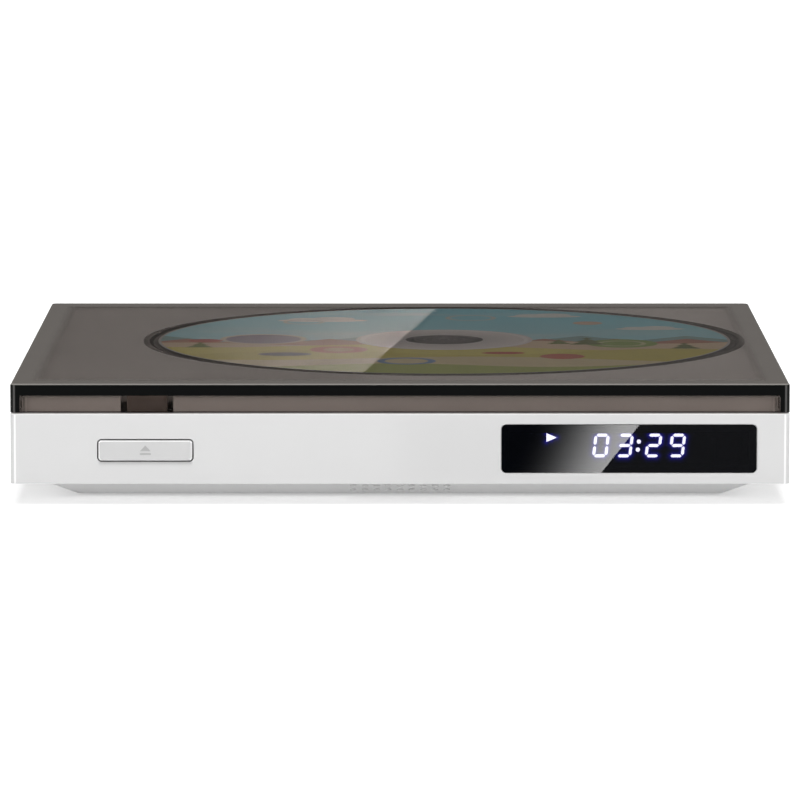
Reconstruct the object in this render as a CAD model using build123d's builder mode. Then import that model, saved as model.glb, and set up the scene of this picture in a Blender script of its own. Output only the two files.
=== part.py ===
from build123d import *
import math
import os

# A slim disc player: a tinted lid flips up over a raised deck with a round disc well.
# Millimetres, +Z up, the front faces -Y, the origin is on the table under the middle.

# Clearances
cut_margin = 1.0
fit_gap = 0.1
press_gap = 0.02
running_gap = 0.05
free_gap = 0.3

# Disc
disc_radius = 60.0
disc_bore_radius = 7.5
disc_thickness = 1.2
disc_drop = 0.1

# Lid
lid_seam = 0.2
lid_height = 5.7
lid_plate = 2.2
lid_wall = 1.9
lid_edge = 0.45

# Hinge: its axis lies in the middle of the rounded heel of the lid's rear wall
hinge_radius = 1.75
hinge_inset = 15.0
pin_radius = 0.6
ear_radius = 1.45
ear_thickness = 2.0
knuckle_radius = 1.7
knuckle_length = 9.4
notch_end_gap = 1.0
ear_span = knuckle_length + 2 * (free_gap + ear_thickness)
hinge_notch = ear_span + 2 * notch_end_gap

# Raised deck under the lid: the well, and the land on each side of it
well_margin = 3.0
land_left = 21.0
land_right = 2.4
land_front = 13.5
land_rear = 1.3
deck_gap = 0.5
deck_side_gap = 0.4
deck_plate = 1.5
deck_wall = 1.5
deck_corner = 1.0
deck_edge = 0.3
well_radius = disc_radius + well_margin
deck_width = land_left + 2 * well_radius + land_right
deck_depth = land_front + 2 * well_radius + land_rear

# Housing, as large as the deck and the lid's walls round it
foot_drop = 0.45
base_height = 3.65
body_height = 14.0
plan_corner = 1.2
body_edge = 0.3
inner_corner = 0.6
shell_wall = 1.8
rim_thickness = 1.8
width = deck_width + 2 * (deck_side_gap + lid_wall)
depth = deck_depth + 2 * (deck_side_gap + hinge_radius) + lid_wall
base_z = foot_drop
body_z = base_z + base_height
body_top_z = body_z + body_height
rim_z = body_top_z - rim_thickness
front_y = -depth / 2
front_inner_y = front_y + shell_wall
rear_y = depth / 2
lid_z = body_top_z + lid_seam
top_z = lid_z + lid_height
lid_under_z = top_z - lid_plate
hinge_y = rear_y - hinge_radius
hinge_z = lid_z + hinge_radius
hinge_x = width / 2 - hinge_inset
deck_top_z = lid_under_z - deck_gap
deck_under_z = deck_top_z - deck_plate
deck_front_y = front_y + lid_wall + deck_side_gap
deck_rear_y = deck_front_y + deck_depth
deck_mid_y = (deck_rear_y + deck_front_y) / 2

# Centre of the disc
disc_x = deck_width / 2 - land_right - well_radius
disc_y = deck_rear_y - land_rear - well_radius
disc_z = deck_top_z - disc_drop - disc_thickness
spindle_axis = Axis((disc_x, disc_y, 0), (0, 0, 1))
spindle_plane = Plane((disc_x, disc_y, 0), x_dir=(1, 0, 0), z_dir=(0, -1, 0))

# Disc well
well_wall = 1.2
well_floor = 1.2
well_floor_gap = 1.1
well_rim_drop = 0.2
well_round = 0.8
well_floor_z = disc_z - well_floor_gap
well_z = well_floor_z - well_floor
well_hub_opening = 15.0
well_slot_width = 28.0
well_lug_width = 8.0
well_lug_angles = (60, 120, 240, 300)
well_screw_radius = 0.8
well_screw_setback = 3.5
well_screw_reach = well_radius + well_screw_setback
well_boss_radius = 2.6
well_screw_depth = 1.8
well_screw_head_radius = 1.8
well_screw_head_height = 1.0

# Base
base_inset_low = 12.5
base_inset_high = 5.2
base_corner = 3.0
base_wall = 2.15
cover_gap = 0.15
flange_height = 1.2
flange_corner = 0.8
cover_floor_z = base_z + base_wall
flange_top_z = body_z + flange_height
base_run = base_inset_low - base_inset_high
base_taper = math.degrees(math.atan2(base_run, base_height))

# Vents on the front slope of the base
vent_radius = 0.7
vent_pitch = 2.33
vent_row_pitch = 2.46
vent_columns = 9
vent_rows = 2
vent_up_slope = 3.58
vent_depth = 3.4

# Feet
foot_radius = 5.0
foot_recess = 0.8
foot_inset_x = 27.0
foot_inset_y = 33.5
foot_edge = 0.25
foot_x = width / 2 - foot_inset_x
foot_y = depth / 2 - foot_inset_y

# Case screws
case_screw_inset = 18.0
case_boss_radius = 3.0
case_post_radius = 3.6
case_post_height = 3.4
case_screw_radius = 1.1
case_screw_length = 11.0
case_head_radius = 2.3
case_head_height = 1.4
case_head_recess = 0.55
case_screw_x = width / 2 - case_screw_inset
case_screw_y = depth / 2 - case_screw_inset
case_post_z = cover_floor_z + case_post_height
case_head_z = base_z + case_head_recess
case_shank_z = case_head_z + case_head_height

# Open button
button_inset = 26.7
button_drop = 7.34
button_width = 18.6
button_height = 4.05
button_corner = 0.65
button_edge = 0.3
button_proud = 0.4
button_gap = 0.25
button_cap_depth = 2.5
button_flange_depth = 0.6
button_flange_overlap = 1.65
button_flange_height = 3.8
button_press = 1.2
button_x = button_inset - width / 2
button_z = body_top_z - button_drop
button_front_y = front_y - button_proud
button_back_y = button_front_y + button_cap_depth
button_flange_back_y = button_back_y + button_flange_depth

# Lid hook and latch slider
latch_offset = 0.3
hook_width = 8.0
hook_notch_width = 10.4
hook_notch_depth = 5.8
hook_leg_depth = 1.6
hook_pad_depth = 4.4
hook_pad_height = 0.9
hook_length = 9.0
hook_tooth = 0.9
hook_tooth_height = 1.6
slider_width = 16.0
slider_arm = 2.5
slider_plate = 1.4
slider_depth = 9.8
slider_upright = 1.2
slider_bridge = 3.0
slider_bridge_gap = 0.8
slider_lift = 0.2
catch_gap = 0.25
guide_wall = 1.5
guide_lip = 1.8
guide_lip_height = 1.0
guide_length = 4.0
guide_setback = 4.8
latch_x = button_x + latch_offset
hook_z = lid_under_z - hook_length
hook_tooth_top_z = hook_z + hook_tooth_height
hook_leg_front_y = button_flange_back_y + button_press
hook_leg_back_y = hook_leg_front_y + hook_leg_depth
hook_tip_y = hook_leg_back_y + hook_tooth
slider_bridge_top_z = hook_z - slider_bridge_gap
slider_low_z = slider_bridge_top_z - slider_bridge
slider_z = hook_tooth_top_z + slider_lift
slider_top_z = slider_z + slider_plate
slider_front_y = button_flange_back_y
slider_rear_y = slider_front_y + slider_depth
catch_y = hook_tip_y + catch_gap
guide_front_y = slider_front_y + guide_setback
guide_z = slider_z - free_gap - guide_lip_height

# Button spring: a folded steel strip between the slider and the shell
spring_strip = 0.25
spring_width = 4.0
spring_fold = 1.6
spring_folds = 4
spring_pitch = 2.1
spring_corner = 0.5
spring_seat_width = 5.0
spring_seat_depth = 1.0
spring_seat_margin = 0.35
spring_wall_width = 6.0
spring_wall = 1.5
spring_z = slider_z + slider_plate / 2
spring_start_y = slider_rear_y + free_gap
spring_end_y = spring_start_y + spring_folds * spring_pitch
spring_wall_y = spring_end_y + free_gap
spring_half_height = spring_fold + spring_strip / 2 + spring_seat_margin

# Lid switch
switch_inset = 11.0
switch_setback = 4.2
switch_width = 6.0
switch_depth = 4.4
switch_height = 5.8
plunger_radius = 0.8
plunger_gap = 0.1
plunger_hole_gap = 0.15
plunger_proud = 0.2
plunger_length = 4.5
plunger_travel = 1.0
plunger_spare = 0.5
switch_x = switch_inset - width / 2
switch_y = deck_front_y + switch_setback
switch_z = deck_under_z - switch_height
plunger_top_z = deck_top_z + plunger_proud
plunger_z = plunger_top_z - plunger_length

# Display
window_inset = 31.75
window_drop = 7.04
window_width = 50.3
window_height = 9.54
window_corner = 0.9
window_thickness = 1.2
window_gap = 0.05
window_ledge = 1.5
window_edge = 0.2
window_edge_slope = 45
module_gap = 2.2
module_width = 35.0
module_height = 6.0
module_depth = 2.3
board_thickness = 1.2
display_board_margin = 3.0
display_board_height = 8.5
display_boss_radius = 1.4
display_pin_radius = 0.7
display_connector_depth = 2.0
display_connector_height = 2.4
display_connector_drop = 2.86
ir_inset = 5.4
ir_width = 4.6
ir_height = 5.2
ir_dome_radius = 1.6
ir_body_depth = 1.2
ir_dome_height = 0.7
window_x = width / 2 - window_inset
window_z = body_top_z - window_drop
ir_x = window_x + window_width / 2 - ir_inset
module_x = ir_x - (ir_width + module_width) / 2 - module_gap
module_front_y = front_y + window_thickness + fit_gap
display_board_y = module_front_y + module_depth
display_board_rear_y = display_board_y + board_thickness
display_board_width = window_width + 2 * display_board_margin
display_boss_x = window_width / 2 + display_boss_radius
display_connector_y = display_board_rear_y + display_connector_depth
display_connector_z = window_z - display_connector_drop

# Spindle motor, turntable and hub, counted down from the disc
motor_base_radius = 14.0
motor_base_height = 1.0
bearing_radius = 2.5
bearing_height = 5.4
bearing_floor = 0.3
shaft_radius = 1.0
shaft_lift = 0.3
shaft_recess = 0.2
stator_radius = 10.9
stator_pole_width = 1.5
stator_pole_tip = 5.0
stator_tip_depth = 1.4
stator_core_radius = 4.5
stator_lift = 1.0
stator_height = 3.0
stator_poles = 9
cup_radius = 12.0
cup_wall = 0.7
cup_top = 0.8
cup_lift = 0.6
cup_height = 5.2
turntable_radius = 12.8
turntable_height = 2.5
pad_inner_radius = 8.5
pad_outer_radius = 12.4
pad_height = 0.4
nose_radius = 7.4
nose_height = 1.5
nose_chamfer = 0.6
claw_count = 3
claw_width = 3.0
claw_inner_radius = 4.7
claw_height = 1.0
claw_outer_radius = nose_radius + running_gap
turntable_z = disc_z - turntable_height
pad_z = disc_z - pad_height
nose_top_z = disc_z + nose_height
claw_z = nose_top_z - fit_gap - claw_height
cup_top_z = turntable_z - free_gap
cup_z = cup_top_z - cup_height
motor_base_z = cup_z - cup_lift - motor_base_height
shaft_z = motor_base_z + bearing_floor + shaft_lift

# Traverse chassis, under the motor's base and carried on soft bushes
chassis_half_width = 37.5
chassis_rear_reach = 16.2
chassis_thickness = 1.2
chassis_corner = 3.0
chassis_border = 1.0
chassis_window_half = 13.0
chassis_window_margin = 1.5
bush_offset_x = 32.5
bush_front_inset = 8.0
bush_rear_reach = 10.7
bush_radius = 4.0
bush_neck_radius = 2.8
bush_flange = 1.2
chassis_post_radius = 3.2
chassis_screw_radius = 1.2
chassis_screw_length = 8.0
chassis_screw_head_radius = 2.8
chassis_screw_head_height = 1.2
chassis_top_z = motor_base_z
chassis_z = chassis_top_z - chassis_thickness
bush_low_z = chassis_z - bush_flange
bush_top_z = chassis_top_z + bush_flange

# Sled on its guide rods, shown with the lens under the inner edge of the tracks
lens_start_radius = 23.0
lens_end_margin = 2.5
sled_width = 43.0
sled_length = 18.0
sled_height = 5.0
sled_gap = 0.3
sled_corner = 1.5
sled_arm_length = 6.0
sled_arm_reach = 9.5
rod_edge = 3.5
rod_radius = 1.5
rod_end_gap = 0.5
rod_rear_setback = 7.8
clamp_width = 6.0
clamp_length = 2.8
clamp_cap = 0.9
laser_half_width = 12.0
laser_length = 14.0
laser_height = 3.5
laser_corner = 1.0
rod_offset = sled_width / 2 - rod_edge
sled_travel = disc_radius - lens_end_margin - lens_start_radius
sled_y = disc_y - lens_start_radius
sled_end_y = sled_y - sled_travel
sled_z = chassis_top_z + sled_gap
sled_top_z = sled_z + sled_height
rod_z = sled_z + sled_height / 2
rod_front_y = sled_end_y - sled_length / 2 - rod_end_gap - clamp_length
rod_rear_y = disc_y - rod_rear_setback
left_rod_x = disc_x - rod_offset
right_rod_x = disc_x + rod_offset
chassis_window_front_y = sled_end_y - laser_length / 2 - chassis_window_margin
chassis_window_rear_y = sled_y + laser_length / 2 + chassis_window_margin
chassis_front_y = rod_front_y - chassis_border
chassis_rear_y = disc_y + chassis_rear_reach
chassis_mid_y = (chassis_front_y + chassis_rear_y) / 2
bush_front_y = chassis_front_y + bush_front_inset
bush_rear_y = disc_y + bush_rear_reach

# Lens, its holder and its actuator
holder_width = 12.0
holder_length = 7.0
holder_height = 1.8
holder_corner = 1.2
lens_radius = 2.2
lens_height = 0.4
lens_seat = 0.8
focus_travel = 0.4
focus_spare = 0.2
magnet_width = 10.0
magnet_depth = 2.0
magnet_height = 1.8
suspension_width = 3.0
suspension_height = 1.9
holder_z = sled_top_z + focus_travel + focus_spare
holder_top_z = holder_z + holder_height
lens_curve = (lens_radius**2 + lens_height**2) / (2 * lens_height)

# Lead screw, nut and sled motor
screw_radius = 1.5
screw_setback = 3.5
screw_rear_setback = 6.8
journal_radius = 0.9
journal_length = 2.5
journal_rear = 3.0
tab_width = 5.0
tab_length = 2.0
tab_gap = 0.5
tab_height = 4.8
nut_width = 6.0
nut_length = 7.0
nut_height = 3.0
nut_gap = 0.3
sled_motor_radius = 4.2
sled_motor_length = 11.0
bracket_width = 11.0
bracket_thickness = 1.2
motor_cutout_gap = 0.6
screw_x = disc_x + (sled_width + nut_width) / 2
screw_front_y = rod_front_y + screw_setback
screw_rear_y = disc_y - screw_rear_setback
bracket_y = screw_rear_y + free_gap
sled_motor_y = bracket_y + bracket_thickness

# Main board and its sockets
main_board_side_gap = 23.0
main_board_front_gap = 2.5
main_board_rear_gap = 8.5
standoff_height = 2.6
main_board_thickness = 1.6
board_screw_inset = 4.0
board_screw_front_inset = 9.0
standoff_radius = 2.5
board_screw_radius = 1.0
board_screw_length = 3.4
board_screw_head_radius = 2.0
board_screw_head_height = 1.0
board_hole_gap = 0.3
main_connector_depth = 3.0
main_connector_height = 1.8
main_connector_setback = 0.3
main_board_width = width - 2 * main_board_side_gap
main_board_front_y = chassis_rear_y + main_board_front_gap
main_board_rear_y = rear_y - main_board_rear_gap
main_board_z = cover_floor_z + standoff_height
main_board_top_z = main_board_z + main_board_thickness
board_screw_x = main_board_width / 2 - board_screw_inset
board_screw_front_y = main_board_front_y + board_screw_front_inset
board_screw_rear_y = main_board_rear_y - board_screw_inset
socket_proud = 0.4
socket_gap = 0.15
hdmi_x = -22.0
hdmi_width = 15.0
hdmi_height = 5.5
hdmi_length = 12.5
hdmi_wall = 0.4
hdmi_taper = 1.6
hdmi_tongue_width = 11.4
hdmi_tongue_height = 0.9
hdmi_depth = 9.5
usb_x = 2.0
usb_width = 13.2
usb_height = 6.6
usb_length = 14.0
usb_wall = 0.45
usb_tongue_width = 11.1
usb_tongue_height = 1.9
usb_tongue_drop = 0.4
usb_depth = 11.5
jack_x = 22.0
jack_width = 7.0
jack_height = 6.0
jack_length = 15.0
jack_nose_radius = 2.9
jack_bore_radius = 1.8
jack_bore_depth = 14.0
power_screw_gap = 3.8
power_width = 8.4
power_height = 7.8
power_length = 13.0
power_nose_radius = 3.6
power_bore_radius = 2.75
power_bore_depth = 9.5
power_pin_radius = 0.65
nose_length = 2.6
socket_rear_y = rear_y + socket_proud
jack_z = main_board_top_z + jack_height / 2
power_z = main_board_top_z + power_height / 2
power_x = board_screw_head_radius + power_screw_gap + power_width / 2 - board_screw_x

# Chips: places from the middle of the board's front edge, and sizes
chip_places = ((-6.0, 18.0), (20.0, 16.0), (-30.0, 21.0))
chip_sizes = ((20.0, 20.0), (12.0, 18.0), (9.0, 7.0))
chip_height = 1.5

# Capacitors: side of the board, then place in from the screws and back from the front edge
capacitor_places = ((1, 12.0, 10.0), (1, 12.0, 20.0), (-1, 10.0, 10.0), (-1, 22.0, 10.0))
capacitor_radius = 3.15
capacitor_height = 6.5
capacitor_edge = 0.4

# Flat cable from the display to the main board
cable_post_gap = 1.0
cable_width = 8.0
cable_thickness = 0.3
cable_lead = 2.0
cable_drop_run = 6.6
cable_rise_run = 3.5
cable_end_run = 0.8
cable_x = disc_x + bush_offset_x - chassis_post_radius - cable_post_gap - cable_width / 2
cable_z = cover_floor_z + free_gap + cable_thickness / 2
cable_drop_y = display_connector_y + cable_drop_run
cable_rise_y = main_board_front_y - cable_rise_run
cable_lead_y = main_board_front_y - cable_end_run

# Screw places shared by the pieces that they join
well_screw_places = [
    (disc_x + well_screw_reach * math.cos(math.radians(angle)),
     disc_y + well_screw_reach * math.sin(math.radians(angle)))
    for angle in well_lug_angles
]
case_screw_places = GridLocations(2 * case_screw_x, 2 * case_screw_y, 2, 2)
foot_places = GridLocations(2 * foot_x, 2 * foot_y, 2, 2)
bush_places = [
    (disc_x + side * bush_offset_x, y)
    for side in (-1, 1)
    for y in (bush_front_y, bush_rear_y)
]
board_screw_places = [
    (side * board_screw_x, y)
    for side in (-1, 1)
    for y in (board_screw_front_y, board_screw_rear_y)
]
ear_starts = [
    side * hinge_x + end * (ear_span - ear_thickness) / 2 - ear_thickness / 2
    for side in (-1, 1)
    for end in (-1, 1)
]


def facing_front(y):
    """A plane across the depth at y: its x is +X, its y is +Z and it faces the front."""
    return Plane((0, y, 0), x_dir=(1, 0, 0), z_dir=(0, -1, 0))


os.makedirs("parts", exist_ok=True)

# Upper shell: four walls, a rim for the lid and the raised deck, open below
with BuildPart() as upper_shell:
    with BuildSketch(Plane.XY.offset(body_z)):
        RectangleRounded(width, depth, plan_corner)
    extrude(amount=body_height)
    fillet(upper_shell.faces().sort_by(Axis.Z)[-1].edges(), body_edge)
    with BuildSketch(Plane.XY.offset(body_top_z)):
        with Locations((0, deck_mid_y)):
            RectangleRounded(deck_width, deck_depth, deck_corner)
    extrude(amount=deck_top_z - body_top_z)
    fillet(upper_shell.faces().sort_by(Axis.Z)[-1].edges(), deck_edge)
    with BuildSketch(Plane.XY.offset(body_z)):
        RectangleRounded(width - 2 * shell_wall, depth - 2 * shell_wall, inner_corner)
    extrude(amount=body_height - rim_thickness, mode=Mode.SUBTRACT)
    with BuildSketch(Plane.XY.offset(rim_z)):
        with Locations((0, deck_mid_y)):
            RectangleRounded(deck_width - 2 * deck_wall, deck_depth - 2 * deck_wall, inner_corner)
    extrude(amount=deck_under_z - rim_z, mode=Mode.SUBTRACT)

    # Round hole for the disc well
    with BuildSketch(Plane.XY.offset(well_z - free_gap)):
        with Locations((disc_x, disc_y)):
            Circle(well_radius + fit_gap)
    extrude(amount=deck_top_z - well_z + free_gap + cut_margin, mode=Mode.SUBTRACT)

    # Bosses for the well's screws, under the deck
    with BuildSketch(Plane.XY.offset(well_floor_z)):
        with Locations(*well_screw_places):
            Circle(well_boss_radius)
    extrude(amount=deck_under_z - well_floor_z)
    with BuildSketch(Plane.XY.offset(well_floor_z)):
        with Locations(*well_screw_places):
            Circle(well_screw_radius + press_gap)
    extrude(amount=well_screw_depth, mode=Mode.SUBTRACT)

    # Bosses for the case screws
    with BuildSketch(Plane.XY.offset(case_post_z)):
        with Locations(*case_screw_places):
            Circle(case_boss_radius)
    extrude(amount=deck_under_z - case_post_z)
    with BuildSketch(Plane.XY.offset(case_post_z)):
        with Locations(*case_screw_places):
            Circle(case_screw_radius + press_gap)
    extrude(amount=case_shank_z + case_screw_length - case_post_z + free_gap, mode=Mode.SUBTRACT)

    # Hole for the open button
    with BuildSketch(facing_front(front_y - cut_margin)):
        with Locations((button_x, button_z)):
            RectangleRounded(
                button_width + 2 * button_gap,
                button_height + 2 * button_gap,
                button_corner + button_gap,
            )
    extrude(amount=-(shell_wall + 2 * cut_margin), mode=Mode.SUBTRACT)

    # Recess and opening for the display window
    with BuildSketch(facing_front(front_y)):
        with Locations((window_x, window_z)):
            RectangleRounded(
                window_width + 2 * window_gap,
                window_height + 2 * window_gap,
                window_corner,
            )
    extrude(amount=-window_thickness, mode=Mode.SUBTRACT)
    with BuildSketch(facing_front(front_y)):
        with Locations((window_x, window_z)):
            RectangleRounded(
                window_width + 2 * (window_gap + window_edge),
                window_height + 2 * (window_gap + window_edge),
                window_corner + window_edge,
            )
    extrude(amount=-window_edge, taper=window_edge_slope, mode=Mode.SUBTRACT)
    with BuildSketch(facing_front(front_y)):
        with Locations((window_x, window_z)):
            Rectangle(window_width - 2 * window_ledge, window_height - 2 * window_ledge)
    extrude(amount=-(shell_wall + cut_margin), mode=Mode.SUBTRACT)

    # Bosses and pins that carry the display board
    with BuildSketch(facing_front(front_inner_y)):
        with Locations((window_x - display_boss_x, window_z), (window_x + display_boss_x, window_z)):
            Circle(display_boss_radius)
    extrude(amount=-(display_board_y - front_inner_y))
    with BuildSketch(facing_front(display_board_y)):
        with Locations((window_x - display_boss_x, window_z), (window_x + display_boss_x, window_z)):
            Circle(display_pin_radius)
    extrude(amount=-board_thickness)

    # Notch in the deck for the lid hook
    with BuildSketch(Plane.XY.offset(rim_z - cut_margin)):
        with Locations((latch_x, deck_front_y + hook_notch_depth / 2)):
            Rectangle(hook_notch_width, hook_notch_depth)
    extrude(amount=deck_top_z - rim_z + 2 * cut_margin, mode=Mode.SUBTRACT)

    # Guides with lips that carry the latch slider, and the wall behind its spring
    for side in (-1, 1):
        guide_x = latch_x + side * (slider_width / 2 + free_gap + guide_wall / 2)
        lip_x = latch_x + side * (slider_width / 2 + free_gap + guide_wall - (guide_wall + guide_lip) / 2)
        with BuildSketch(Plane.XY.offset(guide_z)):
            with Locations((guide_x, guide_front_y + guide_length / 2)):
                Rectangle(guide_wall, guide_length)
        extrude(amount=deck_under_z - guide_z)
        with BuildSketch(Plane.XY.offset(guide_z)):
            with Locations((lip_x, guide_front_y + guide_length / 2)):
                Rectangle(guide_wall + guide_lip, guide_length)
        extrude(amount=guide_lip_height)
    with BuildSketch(Plane.XY.offset(spring_z - spring_half_height)):
        with Locations((latch_x, spring_wall_y + spring_wall / 2)):
            Rectangle(spring_wall_width, spring_wall)
    extrude(amount=deck_under_z - spring_z + spring_half_height)

    # Hole for the lid switch's plunger
    with BuildSketch(Plane.XY.offset(deck_under_z)):
        with Locations((switch_x, switch_y)):
            Circle(plunger_radius + plunger_hole_gap)
    extrude(amount=deck_plate, mode=Mode.SUBTRACT)

    # Hinge ears on the rear rim
    for ear_x in ear_starts:
        with BuildSketch(Plane.YZ.offset(ear_x)):
            with Locations((hinge_y, hinge_z)):
                Circle(ear_radius)
            with Locations((hinge_y, (hinge_z + body_top_z) / 2)):
                Rectangle(2 * ear_radius, hinge_z - body_top_z)
            with Locations((hinge_y, hinge_z)):
                Circle(pin_radius + press_gap, mode=Mode.SUBTRACT)
        extrude(amount=ear_thickness)

    # Openings for the sockets in the rear wall
    with BuildSketch(facing_front(rear_y + cut_margin)):
        with Locations((hdmi_x, main_board_top_z + hdmi_height / 2)):
            Rectangle(hdmi_width + 2 * socket_gap, hdmi_height + 2 * socket_gap)
        with Locations((usb_x, main_board_top_z + usb_height / 2)):
            Rectangle(usb_width + 2 * socket_gap, usb_height + 2 * socket_gap)
        with Locations((jack_x, jack_z)):
            Circle(jack_nose_radius + socket_gap)
        with Locations((power_x, power_z)):
            Circle(power_nose_radius + socket_gap)
    extrude(amount=shell_wall + 2 * cut_margin, mode=Mode.SUBTRACT)
upper_shell.part.label = "upper_shell"
export_step(upper_shell.part, "parts/upper_shell.step")

# Bottom cover: a flange inside the walls over a tapered base with vents
with BuildPart() as bottom_cover:
    with BuildSketch(Plane.XY.offset(body_z)):
        RectangleRounded(
            width - 2 * (shell_wall + cover_gap),
            depth - 2 * (shell_wall + cover_gap),
            flange_corner,
        )
    extrude(amount=flange_height)
    with BuildSketch(Plane.XY.offset(body_z)):
        Rectangle(width - 2 * base_inset_high, depth - 2 * base_inset_high)
    extrude(amount=-base_height, taper=base_taper)
    base_edges = bottom_cover.edges().filter_by(
        lambda edge: base_z + press_gap < edge.center().Z < body_z - press_gap
    )
    fillet(base_edges, base_corner)

    # Hollow, with its floor and slopes as thick as the wall
    with BuildSketch(Plane.XY.offset(cover_floor_z)):
        Rectangle(width - 2 * base_inset_low, depth - 2 * base_inset_low)
    extrude(amount=flange_top_z + cut_margin - cover_floor_z, taper=-base_taper, mode=Mode.SUBTRACT)

    # Posts for the case screws, the chassis and the main board
    with BuildSketch(Plane.XY.offset(cover_floor_z)):
        with Locations(*case_screw_places):
            Circle(case_post_radius)
    extrude(amount=case_post_z - cover_floor_z)
    with BuildSketch(Plane.XY.offset(cover_floor_z)):
        with Locations(*bush_places):
            Circle(chassis_post_radius)
    extrude(amount=bush_low_z - cover_floor_z)
    with BuildSketch(Plane.XY.offset(cover_floor_z)):
        with Locations(*board_screw_places):
            Circle(standoff_radius)
    extrude(amount=main_board_z - cover_floor_z)

    # Screw holes in the posts
    with BuildSketch(Plane.XY.offset(base_z)):
        with Locations(*case_screw_places):
            Circle(case_screw_radius + fit_gap)
    extrude(amount=case_post_z - base_z, mode=Mode.SUBTRACT)
    with BuildSketch(Plane.XY.offset(base_z)):
        with Locations(*case_screw_places):
            Circle(case_head_radius + fit_gap)
    extrude(amount=case_shank_z - base_z, mode=Mode.SUBTRACT)
    with BuildSketch(Plane.XY.offset(bush_low_z)):
        with Locations(*bush_places):
            Circle(chassis_screw_radius + press_gap)
    extrude(amount=-(chassis_screw_length - (bush_top_z - bush_low_z) + free_gap), mode=Mode.SUBTRACT)
    with BuildSketch(Plane.XY.offset(main_board_z)):
        with Locations(*board_screw_places):
            Circle(board_screw_radius + press_gap)
    extrude(amount=-(board_screw_length - main_board_thickness + free_gap), mode=Mode.SUBTRACT)

    # Recesses for the feet
    with BuildSketch(Plane.XY.offset(base_z)):
        with Locations(*foot_places):
            Circle(foot_radius + fit_gap)
    extrude(amount=foot_recess, mode=Mode.SUBTRACT)

    # Vents, square to the front slope
    slope_angle = math.radians(90 - base_taper)
    vent_y = front_y + base_inset_low - vent_up_slope * math.cos(slope_angle)
    vent_z = base_z + vent_up_slope * math.sin(slope_angle)
    vent_plane = Plane(
        (0, vent_y, vent_z),
        x_dir=(1, 0, 0),
        z_dir=(0, -math.sin(slope_angle), -math.cos(slope_angle)),
    )
    with BuildSketch(vent_plane):
        with GridLocations(vent_pitch, vent_row_pitch, vent_columns, vent_rows):
            Circle(vent_radius)
    extrude(amount=-vent_depth, mode=Mode.SUBTRACT)
bottom_cover.part.label = "bottom_cover"
export_step(bottom_cover.part, "parts/bottom_cover.step")

# Case screws
with BuildPart() as case_screws:
    with BuildSketch(Plane.XY.offset(case_head_z)):
        with Locations(*case_screw_places):
            Circle(case_head_radius)
    extrude(amount=case_head_height)
    with BuildSketch(Plane.XY.offset(case_shank_z)):
        with Locations(*case_screw_places):
            Circle(case_screw_radius)
    extrude(amount=case_screw_length)
case_screws.part.label = "case_screws"
export_step(case_screws.part, "parts/case_screws.step")

# Rubber feet, set in shallow recesses
with BuildPart() as rubber_feet:
    with BuildSketch(Plane.XY):
        with Locations(*foot_places):
            Circle(foot_radius)
    extrude(amount=foot_drop + foot_recess)
    chamfer(rubber_feet.edges().group_by(Axis.Z)[0], foot_edge)
rubber_feet.part.label = "rubber_feet"
export_step(rubber_feet.part, "parts/rubber_feet.step")

# Disc well: a shallow bowl with a window for the turntable and the lens
with BuildPart() as disc_well:
    with BuildSketch(Plane.XY.offset(well_z)):
        with Locations((disc_x, disc_y)):
            Circle(well_radius)
        for place_x, place_y in well_screw_places:
            with BuildLine():
                Line((disc_x, disc_y), (place_x, place_y))
            trace(line_width=well_lug_width)
        with Locations(*well_screw_places):
            Circle(well_lug_width / 2)
    extrude(amount=well_floor)
    with BuildSketch(Plane.XY.offset(well_floor_z)):
        with Locations((disc_x, disc_y)):
            Circle(well_radius)
    extrude(amount=deck_top_z - well_rim_drop - well_floor_z)
    with BuildSketch(Plane.XY.offset(well_floor_z)):
        with Locations((disc_x, disc_y)):
            Circle(well_radius - well_wall)
    extrude(amount=deck_top_z - well_floor_z, mode=Mode.SUBTRACT)
    inner_floor_edges = disc_well.edges().filter_by(GeomType.CIRCLE).filter_by(
        lambda edge: abs(edge.radius - (well_radius - well_wall)) < press_gap
    )
    chamfer(inner_floor_edges.group_by(Axis.Z)[0], well_round)
    with BuildSketch(Plane.XY.offset(well_z)):
        with Locations((disc_x, disc_y - well_radius / 2)):
            Rectangle(well_slot_width, well_radius)
        with Locations((disc_x, disc_y)):
            Circle(well_radius - well_wall, mode=Mode.INTERSECT)
            Circle(well_hub_opening)
    extrude(amount=deck_top_z - well_z, mode=Mode.SUBTRACT)
    with BuildSketch(Plane.XY.offset(well_z)):
        with Locations(*well_screw_places):
            Circle(well_screw_radius + fit_gap)
    extrude(amount=well_floor, mode=Mode.SUBTRACT)
disc_well.part.label = "disc_well"
export_step(disc_well.part, "parts/disc_well.step")

# Screws that hold the well under the deck
with BuildPart() as well_screws:
    with BuildSketch(Plane.XY.offset(well_z - well_screw_head_height)):
        with Locations(*well_screw_places):
            Circle(well_screw_head_radius)
    extrude(amount=well_screw_head_height)
    with BuildSketch(Plane.XY.offset(well_z)):
        with Locations(*well_screw_places):
            Circle(well_screw_radius)
    extrude(amount=well_floor + well_screw_depth - free_gap)
well_screws.part.label = "well_screws"
export_step(well_screws.part, "parts/well_screws.step")

# Display window, flush with the front wall
with BuildPart() as display_window:
    with BuildSketch(facing_front(front_y)):
        with Locations((window_x, window_z)):
            RectangleRounded(window_width, window_height, window_corner)
    extrude(amount=-window_thickness)
display_window.part.label = "display_window"
export_step(display_window.part, "parts/display_window.step")

# Display module: the block with the lit digits
with BuildPart() as display_module:
    with BuildSketch(facing_front(module_front_y)):
        with Locations((module_x, window_z)):
            Rectangle(module_width, module_height)
    extrude(amount=-module_depth)
display_module.part.label = "display_module"
export_step(display_module.part, "parts/display_module.step")

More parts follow.
